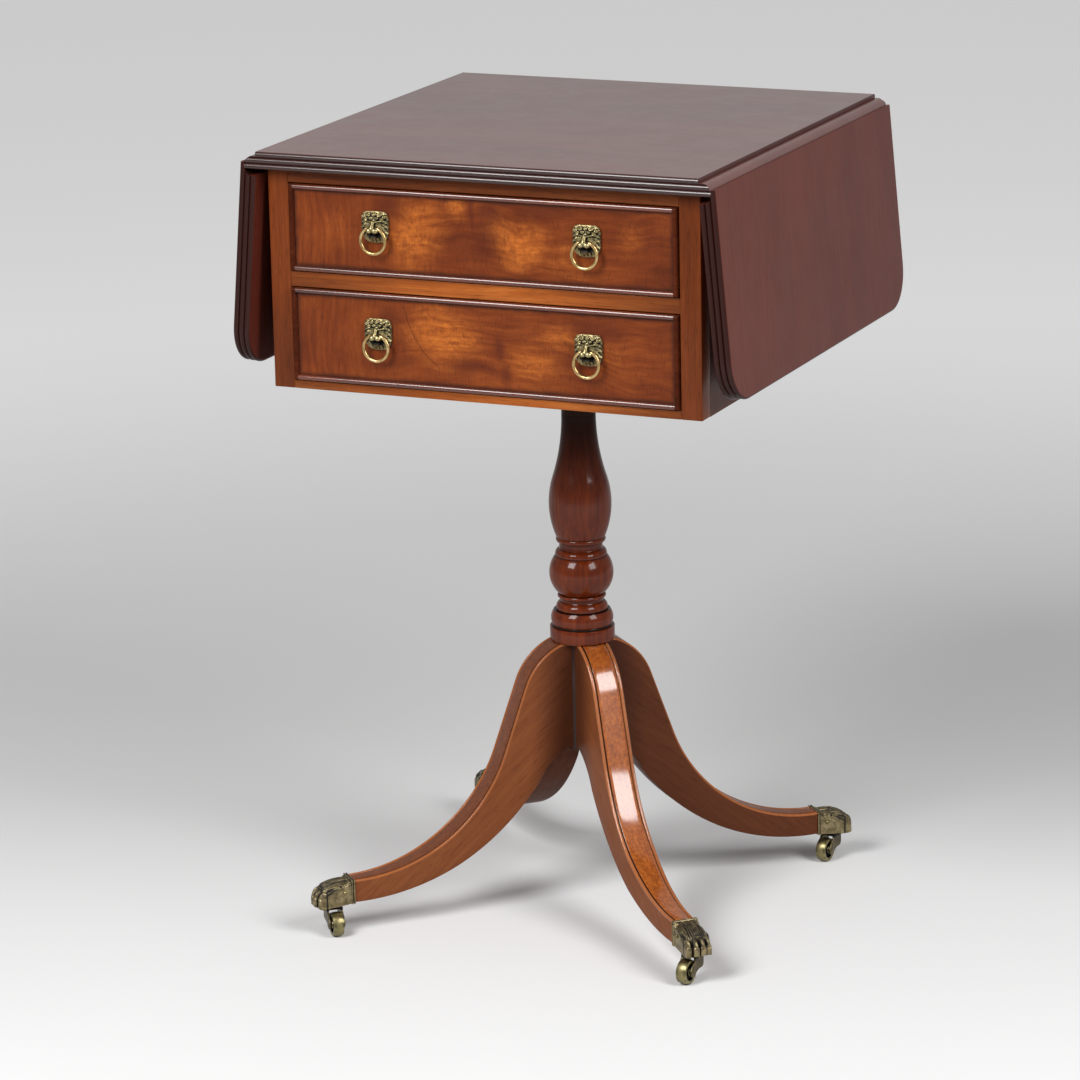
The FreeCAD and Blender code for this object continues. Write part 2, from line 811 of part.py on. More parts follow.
def case_nodes():
    """The case: sides, lopers, stiles, rails, back, bottom and drawer runners."""
    front = (front_y, behind_front)
    opening = (-opening_half, opening_half)
    inside = (-inner_half, inner_half)
    nodes = case_sides() + lopers()
    for side, (sign, _) in SIDES.items():
        nodes.append(box(f"{side}_stile", side_span(sign, opening_half, case_half), front,
                         (case_bottom, under_z)))
    rail = box("top_rail_board", opening, front, (upper_ceiling, under_z))
    nodes.append(cut("top_rail", rail, copies("rail_holes", rail_hole, RAIL_SCREWS)))
    nodes.append(box("middle_rail", opening, front, (lower_ceiling, upper_floor)))
    nodes.append(box("bottom_rail", opening, front, (case_bottom, lower_floor)))
    nodes.append(box("back_panel", inside, (before_back, back_y), (case_bottom, under_z)))
    board = box("bottom_panel", inside, (behind_front, before_back), (case_bottom, lower_floor))
    nodes.append(cut("bottom_board", board, copies("bottom_holes", block_hole, BLOCK_SCREWS)))
    runners = [piece for side, (sign, _) in SIDES.items() for piece in runner(side, sign)]
    nodes.append(group("drawer_runners", *runners))
    return nodes


# Drawers and pulls


def pull_places(floor, opening):
    """Centres of a drawer's two masks on its front."""
    height = floor + opening / 2 + S.pull_rise
    return {"left": (-S.pull_offset, front_y, height), "right": (S.pull_offset, front_y, height)}


def ellipsoid(label, width, depth, height, position):
    """An ellipsoid by its half sizes."""
    item = doc.addObject("Part::Ellipsoid", label)
    bind(item, Radius1=height, Radius2=width, Radius3=depth)
    item.Angle1 = -90
    item.Angle2 = 90
    item.Angle3 = 360
    return place(item, *position)


def mask():
    """A lion mask in the rough: a domed oval with a muzzle, bored for the ring and the bolt."""
    muzzle_spot = (0, S.muzzle_back - ring_out, -S.muzzle_drop)
    dome = ellipsoid("mask_dome", S.mask_width / 2, S.mask_depth, S.mask_height / 2, (0, 0, 0))
    muzzle = ellipsoid("mask_muzzle", S.muzzle_width / 2, S.muzzle_depth, S.muzzle_height / 2,
                       muzzle_spot)
    behind = box("mask_behind", about(2 * S.mask_width), (0, S.mask_width), about(2 * S.mask_height))
    hole_radius = S.ring_wire + S.running_gap
    bores = [rod(f"mask_bore_{sign}", hole_radius, S.mask_width,
                 (S.pintle_inset * sign, -ring_out, -S.ring_drop),
                 FreeCAD.Rotation(FreeCAD.Vector(0, 1, 0), 90 * sign)) for sign in (1, -1)]
    seat = rod("mask_seat", S.bolt_radius + S.hole_gap, S.bolt_seat + S.hole_gap + CUT_MARGIN,
               (0, -S.bolt_seat - S.hole_gap, 0), ALONG_Y)
    return cut("mask_casting", fuse("mask_solid", dome, muzzle), behind, *bores, seat)


def ring():
    """A ring that hangs from two inturned ends; its own origin is on their axis."""
    wire = body("ring_wire_body")
    reach = S.ring_radius - S.ring_bend
    hang = S.ring_radius - S.ring_rise
    fall = hang - S.ring_bend
    bend_x = root(reach * reach - fall * fall)
    turn_x = bend_x * S.ring_radius / reach
    turn_z = fall * S.ring_radius / reach - hang
    start = S.pintle_inset + S.hole_gap
    low = -hang - S.ring_radius
    bend = sagitta(S.ring_bend, (bend_x, 0), (turn_x, turn_z))
    chord = root(turn_x * turn_x + (turn_z - low) * (turn_z - low))
    side = S.ring_radius - root(S.ring_radius * S.ring_radius - chord * chord / 4)
    path = [(-start, 0), (-bend_x, 0), (-turn_x, turn_z, bend), (0, low, side),
            (turn_x, turn_z, side), (bend_x, 0, bend), (start, 0)]
    spine = sketch(wire, "XZ_Plane", path, closed=False)
    section = circle(wire, "YZ_Plane", S.ring_wire, offset=-start)
    sweep = wire.newObject("PartDesign::AdditivePipe", "ring_sweep")
    sweep.Profile = section
    sweep.Spine = (spine, [f"Edge{number}" for number in range(1, len(path))])
    return wire


def bolt():
    """A bolt from a mask through the drawer front, with its nut inside."""
    length = S.bolt_seat + S.front_thickness + S.bolt_tail
    shank = rod("pull_bolt", S.bolt_radius, length, (0, -S.bolt_seat, 0), ALONG_Y)
    nut = doc.addObject("Part::Prism", "pull_nut_blank")
    nut.Polygon = 6
    bind(nut, Circumradius=S.nut_radius, Height=S.nut_height)
    place(nut, 0, S.front_thickness, 0, ALONG_Y)
    bore = rod("pull_nut_bore", S.bolt_radius + S.hole_gap, S.nut_height + 2 * CUT_MARGIN,
               (0, S.front_thickness - CUT_MARGIN, 0), ALONG_Y)
    return group("pull_bolt_set", shank, cut("pull_nut", nut, bore))


def cockbead(name, half, z_span):
    """The bead frame round a drawer front, rounded along its nose."""
    frame = body(f"{name}_bead_frame")
    low, high = z_span
    inner_half_width = half - S.bead_width
    outer = [(-half, low), (half, low), (half, high), (-half, high)]
    inner = [(-inner_half_width, low + S.bead_width), (inner_half_width, low + S.bead_width),
             (inner_half_width, high - S.bead_width), (-inner_half_width, high - S.bead_width)]
    nose = S.bead_proud - front_y
    drawing = sketch(frame, "XZ_Plane", outer, inner, offset=nose)
    base = pad(frame, drawing, S.bead_proud + S.front_thickness, "One side")
    base.Reversed = True
    doc.recompute()
    edges = [f"Edge{number}" for number, item in enumerate(base.Shape.Edges, 1)
             if all(abs(vertex.Y + nose.value) < 1e-6 for vertex in item.Vertexes)]
    rounding = frame.newObject("PartDesign::Fillet", f"{name}_bead_nose")
    rounding.Base = (base, edges)
    bind(rounding, Radius=S.bead_width / 2 - S.bead_flat)
    return copies(f"{name}_cockbead", frame, [(0, 0, 0, UPRIGHT)])


def drawer_nodes(name, floor, opening, casting, wire, bolts):
    """One drawer with its bead, box, masks, bolts and rings."""
    ceiling = floor + opening
    half = opening_half - S.drawer_gap
    front_span = (front_y, front_y + S.front_thickness)
    bead_span = (floor + S.drawer_gap, ceiling - S.drawer_gap)
    board_half = half - S.bead_width
    behind = front_span[1]
    end = before_back - S.drawer_end_gap
    inside = half - S.drawer_side
    side_foot = floor + S.slide_gap
    side_head = ceiling - S.side_drop
    panel_foot = side_foot + S.bottom_lift
    panel_head = panel_foot + S.drawer_bottom
    panel_half = board_half - S.hole_gap
    spots = pull_places(floor, opening)
    mask_spots = [(*spot, UPRIGHT) for spot in spots.values()]
    panel = ((-panel_half, panel_half), (behind - S.groove_depth, end), (panel_foot, panel_head))
    groove = tuple((low - S.hole_gap, high + S.hole_gap) for low, high in panel)
    front_groove = (about(2 * (board_half + CUT_MARGIN)), *groove[1:])

    board = box(f"{name}_front_board", (-board_half, board_half), front_span,
                (bead_span[0] + S.bead_width, bead_span[1] - S.bead_width))
    bolt_hole = rod(f"{name}_bolt_hole", S.bolt_radius + S.hole_gap,
                    S.front_thickness + 2 * CUT_MARGIN, (0, -CUT_MARGIN, 0), ALONG_Y)
    front = cut(f"{name}_front", board, box(f"{name}_front_groove", *front_groove),
                copies(f"{name}_bolt_holes", bolt_hole, mask_spots))
    walls = [cut(f"{name}_{side}_wall",
                 box(f"{name}_{side}_wall_board", side_span(sign, inside, half), (behind, end),
                     (side_foot, side_head)),
                 box(f"{name}_{side}_wall_groove", *groove))
             for side, (sign, _) in SIDES.items()]
    back = box(f"{name}_back", (-inside, inside), (end - S.drawer_side, end),
               (panel_head, side_head - S.back_drop))
    nodes = [front, group(f"{name}_sides", *walls), back, box(f"{name}_bottom", *panel),
             cockbead(name, half, bead_span), copies(f"{name}_pull_masks", casting, mask_spots),
             copies(f"{name}_pull_bolts", bolts, mask_spots)]
    for side, (x, y, z) in spots.items():
        nodes.append(copies(f"{name}_{side}_ring", wire,
                            [(x, y - ring_out, z - S.ring_drop, UPRIGHT)]))
    return nodes


# Column, block and legs


def column_outline():
    """The turned half section, from the hub up to the tenon."""
    turnings = [
        (S.hub_height, hub_radius, hub_radius, 0),
        (S.drum_height, S.drum_radius, S.drum_radius, 0),
        (S.line_height, S.line_radius, S.line_radius, 0),
        (S.torus_height, S.torus_foot_radius, S.torus_top_radius, S.torus_swell),
        (S.nick_height, S.nick_radius, S.nick_radius, 0),
        (S.lip_height, S.lip_foot_radius, S.lip_top_radius, S.lip_swell),
        (S.cove_height, S.cove_neck_radius, S.cove_neck_radius, -S.cove_hollow),
        (S.collar_height, S.collar_radius, S.collar_radius, 0),
        (S.ball_height, S.ball_foot_radius, S.ball_top_radius, S.ball_swell),
        (S.crest_height, S.crest_foot_radius, S.crest_top_radius, S.crest_swell),
        (S.neck_height, S.neck_radius, S.neck_radius, -S.neck_hollow),
        (S.ring_height, S.ring_foot_radius, S.ring_foot_radius, S.ring_swell),
        (S.belly_height, S.vase_foot_radius, S.belly_top_radius, S.belly_swell),
        (S.shoulder_height, S.belly_top_radius, S.shaft_radius, -S.shoulder_hollow),
        (S.shaft_height, S.shaft_radius, S.shaft_radius, 0),
        (S.block_thickness, S.tenon_radius, S.tenon_radius, 0),
    ]
    level = S.hub_bottom
    corners = [(sized(0), level)]
    for height, foot, head, swell in turnings:
        if corners[-1][0].text != foot.text:
            corners.append((foot, level))
        level = level + height
        corners.append((head, level, swell) if swell else (head, level))
    corners.append((sized(0), level))
    return corners


def column_nodes():
    """The column with slots for the legs, and the block that joins it to the case."""
    post = revolve("column_post", column_outline())
    slots = []
    for name, angle in LEG_ANGLES.items():
        slot = box(f"{name}_slot", (hub_radius - S.tongue_depth - S.hole_gap, S.drum_radius),
                   about(S.tongue_width + 2 * S.hole_gap),
                   (S.hub_bottom - CUT_MARGIN, drum_bottom))
        slots.append(copies(f"{name}_slot_turned", slot, [(0, 0, 0, turn(angle))]))
    nodes = [cut("column", post, *slots)]
    block = body("block_blank")
    half = S.block_size / 2
    square = [(-half, -half), (half, -half), (half, half), (-half, half)]
    base = pad(block, sketch(block, "XY_Plane", square, offset=block_bottom), S.block_thickness,
               "One side")
    doc.recompute()
    lower = [f"Edge{number}" for number, item in enumerate(base.Shape.Edges, 1)
             if all(abs(vertex.Z - block_bottom.value) < 1e-6 for vertex in item.Vertexes)]
    bevel = block.newObject("PartDesign::Chamfer", "block_bevel")
    bevel.Base = (base, lower)
    bind(bevel, Size=S.block_chamfer)
    bore = rod("block_bore", S.tenon_radius + S.hole_gap, S.block_thickness + 2 * CUT_MARGIN,
               (0, 0, block_bottom - CUT_MARGIN))
    nodes.append(cut("column_block", block, bore, copies("block_holes", block_hole, BLOCK_SCREWS)))
    nodes.append(copies("block_screws", block_screw, BLOCK_SCREWS))
    return nodes


def leg():
    """A sabre leg that runs out along X: padded side view, tapered towards its foot."""
    blank = body("leg_blank")
    root_x = hub_radius - S.tongue_depth
    root_foot = S.hub_bottom + S.root_lift
    knee = (hub_radius + S.knee_out, drum_bottom - S.knee_drop)
    under_knee = (hub_radius + S.under_knee_out, root_foot - S.under_knee_drop)
    outline = [
        (root_x, root_foot + S.root_rise),
        (hub_radius, root_foot),
        under_knee + (S.root_swell * -1,),
        (S.leg_reach, leg_end_z, S.under_hollow),
        (S.leg_reach, leg_end_top),
        (knee[0] + S.slope_out, knee[1] - S.slope_drop, -S.leg_hollow),
        knee,
        (S.drum_radius - S.root_rise, drum_bottom - S.wood_gap, S.knee_swell),
        (root_x, drum_bottom - S.wood_gap),
    ]
    pad(blank, sketch(blank, "XZ_Plane", outline), S.leg_width)
    taper_start = S.leg_reach - S.leg_taper
    far = S.leg_reach + CUT_MARGIN
    wide = S.leg_width / 2
    narrow = S.leg_end_width / 2
    right = [(taper_start, wide), (S.leg_reach, narrow), (far, narrow), (far, wide + CUT_MARGIN),
             (taper_start, wide + CUT_MARGIN)]
    left = [(x, -y) for x, y in right]
    pocket(blank, sketch(blank, "XY_Plane", right, left), 4 * drum_bottom)
    return blank


def leg_solid():
    """The leg with its tongue for the hub and its tenon for the cap."""
    blank = leg()
    hub = rod("leg_hub_room", hub_radius + S.wood_gap, drum_bottom, (0, 0, 0))
    side = S.tongue_width / 2
    room = [box("leg_room_left", (0, S.drum_radius), (side, S.leg_width), (0, drum_bottom)),
            box("leg_room_right", (0, S.drum_radius), (-S.leg_width, -side), (0, drum_bottom))]
    shoulders = doc.addObject("Part::Common", "leg_shoulder_room")
    shoulders.Base = hub
    shoulders.Tool = fuse("leg_rooms", *room)
    tenon_middle = (leg_end_z + leg_end_top) / 2
    tenon = box("leg_tenon", (S.leg_reach - CUT_MARGIN, S.leg_reach + S.leg_tenon_length),
                about(S.leg_tenon_width),
                (tenon_middle - S.leg_tenon_height / 2, tenon_middle + S.leg_tenon_height / 2))
    return cut("leg_piece", fuse("leg_body", cut("leg_shouldered", blank, shoulders), tenon),
               cap_pin_hole("leg_pin_hole"))


def cap_pin_hole(label):
    """The hole for the pin that holds a cap on its leg."""
    return rod(label, S.cap_pin_radius + S.hole_gap, 2 * S.cap_width,
               (S.leg_reach + S.cap_pin_back, -S.cap_width, (leg_end_z + leg_end_top) / 2), ALONG_Y)


def cap():
    """A paw cap in the rough: side view padded, a collar, a socket and the stem's bore."""
    blank = body("cap_blank")
    heel = S.leg_reach
    toe = heel + S.cap_length
    head = cap_bottom + S.cap_height
    outline = [(heel, cap_bottom), (toe - S.cap_toe_radius, cap_bottom),
               (toe, cap_bottom + S.cap_toe_radius, S.cap_toe_radius * QUARTER),
               (toe, cap_bottom + S.cap_toe_rise), (heel + S.cap_flat, head, S.cap_toe_swell),
               (heel, head)]
    pad(blank, sketch(blank, "XZ_Plane", outline), S.cap_width)
    collar = box("cap_collar", (heel, heel + S.collar_width),
                 about(S.cap_width + 2 * S.collar_proud), (cap_bottom, head + S.collar_proud))
    tenon_middle = (leg_end_z + leg_end_top) / 2
    half_height = S.leg_tenon_height / 2 + S.hole_gap
    socket = box("cap_socket", (heel - CUT_MARGIN, heel + S.leg_tenon_length + S.hole_gap),
                 about(S.leg_tenon_width + 2 * S.hole_gap),
                 (tenon_middle - half_height, tenon_middle + half_height))
    bore = rod("cap_bore", S.stem_radius + S.stem_gap, S.stem_length + CUT_MARGIN,
               (heel + S.caster_back, 0, crown_top - CUT_MARGIN / 2))
    return cut("cap_casting", fuse("cap_solid", blank, collar), socket, bore,
               cap_pin_hole("cap_pin_hole"))


def leg_nodes():
    """Four legs with their caps and the pins through them."""
    piece = leg_solid()
    casting = cap()
    span = S.cap_width + 2 * S.cap_pin_head
    pin_rod = rod("cap_pin", S.cap_pin_radius, span,
                  (S.leg_reach + S.cap_pin_back, -span / 2, (leg_end_z + leg_end_top) / 2), ALONG_Y)
    turned = {name: (0, 0, 0, turn(angle)) for name, angle in LEG_ANGLES.items()}
    nodes = []
    for name, spot in turned.items():
        nodes.append(copies(f"{name}_leg", piece, [spot]))
        nodes.append(copies(f"{name}_paw_cap", casting, [spot]))
    nodes.append(copies("cap_pins", pin_rod, list(turned.values())))
    return nodes


# Casters: the stem's axis is Z, the wheel trails along X


def fork():
    """The horn with its stem, and the axle riveted in its cheeks."""
    horn = body("fork_horn")
    bridge = crown_top - S.crown_thickness
    outline = [(-S.crown_half_length, bridge), (S.trail - S.boss_radius, S.wheel_radius),
               (S.trail + S.boss_radius, S.wheel_radius, S.boss_radius),
               (S.trail, bridge), (S.crown_half_length, crown_top),
               (-S.crown_half_length, crown_top)]
    slot = S.wheel_width + 2 * S.wheel_side_gap
    width = slot + 2 * S.cheek_thickness
    pad(horn, sketch(horn, "XZ_Plane", outline), width)
    gap = [(-slot / 2, 0), (slot / 2, 0), (slot / 2, bridge), (-slot / 2, bridge)]
    pocket(horn, sketch(horn, "YZ_Plane", gap), 4 * S.wheel_radius + 4 * S.trail)
    pad(horn, circle(horn, "XY_Plane", S.stem_radius, offset=crown_top), S.stem_length, "One side")
    axle_length = width + 2 * S.axle_head
    bore = rod("fork_bore", S.axle_radius + S.running_gap, axle_length,
               (S.trail, -axle_length / 2, S.wheel_radius), ALONG_Y)
    axle = rod("fork_axle", S.axle_radius, axle_length, (S.trail, -axle_length / 2, S.wheel_radius),
               ALONG_Y)
    return group("fork_set", cut("fork_drilled", horn, bore), axle)


def wheel():
    """A wheel with a crowned tread, a rim, a web and a hub."""
    half = S.wheel_width / 2
    web = S.web_thickness / 2
    edge_radius = S.wheel_radius - S.wheel_crown
    rim = edge_radius - S.rim_thickness
    bore = S.axle_radius + S.running_gap
    corners = [(bore, -half), (S.wheel_hub_radius, -half), (S.wheel_hub_radius, -web), (rim, -web),
               (rim, -half), (edge_radius, -half), (edge_radius, half, S.wheel_crown), (rim, half),
               (rim, web), (S.wheel_hub_radius, web), (S.wheel_hub_radius, half), (bore, half)]
    return place(revolve("wheel_turning", corners, "XY_Plane"), S.trail, 0, S.wheel_radius)


def caster_nodes():
    """Four casters, each turned the way it stands."""
    horn = fork()
    disc = wheel()
    reach = S.leg_reach + S.caster_back
    nodes = []
    for name, angle in LEG_ANGLES.items():
        x = reach * math.cos(math.radians(angle))
        y = reach * math.sin(math.radians(angle))
        spot = (x, y, 0, turn(CASTER_HEADINGS[name]))
        nodes.append(copies(f"{name}_caster_fork", horn, [spot]))
        nodes.append(copies(f"{name}_wheel", disc, [spot]))
    return nodes


def check(items):
    """Stop if any object failed or any sub-part has no sound solid."""
    for item in doc.Objects:
        if {"Invalid", "Error"} & set(item.State):
            raise RuntimeError(f"{item.Label}: {item.State}")
    for item in items:
        if item.Shape.isNull() or not item.Shape.isValid() or not item.Shape.Solids:
            raise RuntimeError(f"{item.Label}: no sound solid")


lion_mask = mask()
pull_ring = ring()
pull_bolts = bolt()
sub_parts = top_nodes() + hinge_nodes() + case_nodes() + column_nodes() + leg_nodes()
sub_parts += drawer_nodes("upper_drawer", upper_floor, S.upper_opening, lion_mask, pull_ring, pull_bolts)
sub_parts += drawer_nodes("lower_drawer", lower_floor, S.lower_opening, lion_mask, pull_ring, pull_bolts)
sub_parts += caster_nodes()
doc.recompute()
check(sub_parts)

os.makedirs("parts", exist_ok=True)
for item in sub_parts:
    item.Shape.exportStep(os.path.join("parts", f"{item.Label}.step"))
print(len(sub_parts), "sub-parts,", f"{top_z.value:.1f} mm high")
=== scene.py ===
"""Looks of the work table: woods and brass, turned and carved pieces, camera and light."""
import math

import bmesh
import bpy
import numpy as np
from mathutils import Matrix, Vector


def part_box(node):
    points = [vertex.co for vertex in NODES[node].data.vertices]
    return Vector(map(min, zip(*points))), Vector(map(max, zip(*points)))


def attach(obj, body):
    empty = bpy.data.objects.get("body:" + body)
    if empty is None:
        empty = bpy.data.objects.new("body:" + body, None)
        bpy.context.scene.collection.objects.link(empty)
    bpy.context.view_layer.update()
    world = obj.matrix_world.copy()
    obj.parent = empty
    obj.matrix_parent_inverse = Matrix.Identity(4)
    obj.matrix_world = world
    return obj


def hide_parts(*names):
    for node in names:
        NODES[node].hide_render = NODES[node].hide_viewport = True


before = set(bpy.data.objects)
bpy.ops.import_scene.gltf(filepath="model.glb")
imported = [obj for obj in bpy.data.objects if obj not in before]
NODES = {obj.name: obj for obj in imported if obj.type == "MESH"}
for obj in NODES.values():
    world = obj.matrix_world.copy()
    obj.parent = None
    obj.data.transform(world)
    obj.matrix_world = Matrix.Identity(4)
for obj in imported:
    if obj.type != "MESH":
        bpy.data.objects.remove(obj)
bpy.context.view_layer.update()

MM = 0.001
# Ways of the legs and casters in degrees, and places in metres, as in the solids
CORNERS = {"front_left": -135, "front_right": -45, "back_left": 135, "back_right": 45}
HEADINGS = {"front_left": -50, "front_right": -97, "back_left": -97, "back_right": -97}
LEG_REACH = 0.221
STEM_REACH = 0.2385
TRAIL = 0.011
WHEEL_RADIUS = 0.0108
RIVET_BACK = 0.0095
RIVET_Z = 0.03755
FRONT_Y = -0.1944
PULLS = {"left": -0.095, "right": 0.095}
MASK_Z = {"upper": 0.63755, "lower": 0.54675}


# Node materials


class Nodes:
    """The nodes of a material or a world; the helpers return output sockets."""

    def __init__(self, tree):
        self.tree = tree

    def add(self, kind, **settings):
        node = self.tree.nodes.new(kind)
        for name, value in settings.items():
            setattr(node, name, value)
        return node

    def put(self, socket, value):
        """Link a socket to another, or set its number, or its colour as three screen values."""
        if isinstance(value, bpy.types.NodeSocket):
            self.tree.links.new(value, socket)
        elif socket.type == "RGBA" and len(value) == 3:
            socket.default_value = (*shade(*value), 1)
        else:
            socket.default_value = value

    def made(self, kind, output, values, **settings):
        """Add a node, fill its inputs by name or number, and give one of its outputs."""
        node = self.add(kind, **settings)
        for key, value in values.items():
            self.put(node.inputs[key], value)
        return node.outputs[output]

    def painted(self, name):
        """A value that the mesh carries at its points."""
        return self.add("ShaderNodeAttribute", attribute_name=name).outputs["Fac"]

    def mapped(self, vector, scale=(1, 1, 1), rotation=(0, 0, 0), location=(0, 0, 0)):
        angles = [math.radians(angle) for angle in rotation]
        return self.made("ShaderNodeMapping", "Vector", {
            "Vector": vector, "Scale": scale, "Rotation": angles, "Location": location})

    def noise(self, vector, scale=1, detail=3, roughness=0.5, color=False):
        return self.made("ShaderNodeTexNoise", "Color" if color else "Fac", {
            "Vector": vector, "Scale": scale, "Detail": detail, "Roughness": roughness})

    def math(self, operation, *values):
        return self.made("ShaderNodeMath", "Value", dict(enumerate(values)), operation=operation)

    def times(self, first, second):
        return self.math("MULTIPLY", first, second)

    def weighed(self, *parts):
        """The sum of values, each times its weight."""
        total = 0.0
        for value, weight in parts:
            total = self.math("MULTIPLY_ADD", value, weight, total)
        return total

    def vector(self, operation, *values, output="Vector"):
        return self.made("ShaderNodeVectorMath", output, dict(enumerate(values)), operation=operation)

    def parts(self, vector):
        node = self.add("ShaderNodeSeparateXYZ")
        self.put(node.inputs["Vector"], vector)
        return node.outputs["X"], node.outputs["Y"], node.outputs["Z"]

    def joined(self, x, y, z):
        return self.made("ShaderNodeCombineXYZ", "Vector", {"X": x, "Y": y, "Z": z})

    def span(self, value, low, high, out_low=0.0, out_high=1.0, smooth=False):
        """A value from low to high as one from out_low to out_high, and no further."""
        numbers = dict(enumerate((value, low, high, out_low, out_high)))
        return self.made("ShaderNodeMapRange", "Result", numbers,
                         interpolation_type="SMOOTHSTEP" if smooth else "LINEAR")

    def mix(self, factor, first, second):
        node = self.add("ShaderNodeMix", data_type="RGBA")
        self.put(node.inputs["Factor"], factor)
        for name, value in (("A", first), ("B", second)):
            self.put(next(item for item in node.inputs if item.name == name and item.type == "RGBA"), value)
        return next(item for item in node.outputs if item.type == "RGBA")

    def ramp(self, factor, stops):
        node = self.add("ShaderNodeValToRGB")
        self.put(node.inputs["Fac"], factor)
        elements = node.color_ramp.elements
        while len(elements) < len(stops):
            elements.new(0.5)
        for element, (position, tone) in zip(elements, stops):
            element.position = position
            element.color = (*shade(*tone), 1)
        return node.outputs["Color"]

    def bump(self, height, strength, distance):
        return self.made("ShaderNodeBump", "Normal", {
            "Height": height, "Strength": strength, "Distance": distance})


class Shader(Nodes):
    """A new material with one surface shader."""

    def __init__(self, name):
        self.material = bpy.data.materials.new(name)
        self.material.use_nodes = True
        super().__init__(self.material.node_tree)
        self.tree.nodes.clear()
        self.bsdf = self.add("ShaderNodeBsdfPrincipled")
        output = self.add("ShaderNodeOutputMaterial")
        self.put(output.inputs["Surface"], self.bsdf.outputs["BSDF"])
        coordinates = self.add("ShaderNodeTexCoord")
        self.place = coordinates.outputs["Object"]
        self.normal = coordinates.outputs["Normal"]

    def finish(self, **values):
        """Set the surface's own inputs, by their names with _ for spaces."""
        for name, value in values.items():
            self.put(self.bsdf.inputs[name.replace("_", " ")], value)
        return self.material


def shade(*tone):
    """A colour as read on a screen, 0 to 255, in linear numbers."""
    linear = [value / 255 for value in tone]
    return tuple(value / 12.92 if value <= 0.04045 else ((value + 0.055) / 1.055) ** 2.4 for value in linear)


GRAIN_X = (0, 0, 0)
GRAIN_Y = (0, 0, -90)
GRAIN_Z = (0, 90, 0)


def grain(shader, rotation):
    """Fibre, broad-figure and pore values of straight-grained wood."""
    turned = shader.mapped(shader.place, rotation=rotation)
    sway = shader.noise(shader.mapped(turned, (3.5, 11, 11)), detail=2, color=True)
    bent = shader.vector("MULTIPLY_ADD", sway, (0.0, 0.012, 0.012), turned)
    fibre = shader.noise(shader.mapped(bent, (9, 260, 260)), detail=5, roughness=0.62)
    broad = shader.noise(shader.mapped(bent, (3, 15, 15)))
    fleck = shader.noise(shader.mapped(bent, (75, 1500, 1500)), detail=2)
    return fibre, broad, shader.span(fleck, 0.56, 0.7)


# Dark tones painted on the polished wood: grime and painted shade in grooves, painted shade elsewhere
GROOVE_GRIME_AND_SHADE = (22, 9, 6)
EDGE_SHADE = (44, 20, 16)
HUB_SHADE = (40, 21, 16)
CASE_SHADOW = (20, 5, 2)
RAIL_END_SHADE = (66, 29, 17)
UPRIGHT_BEAD_SHADE = (44, 18, 10)
STEP_SHADE = (64, 26, 21)


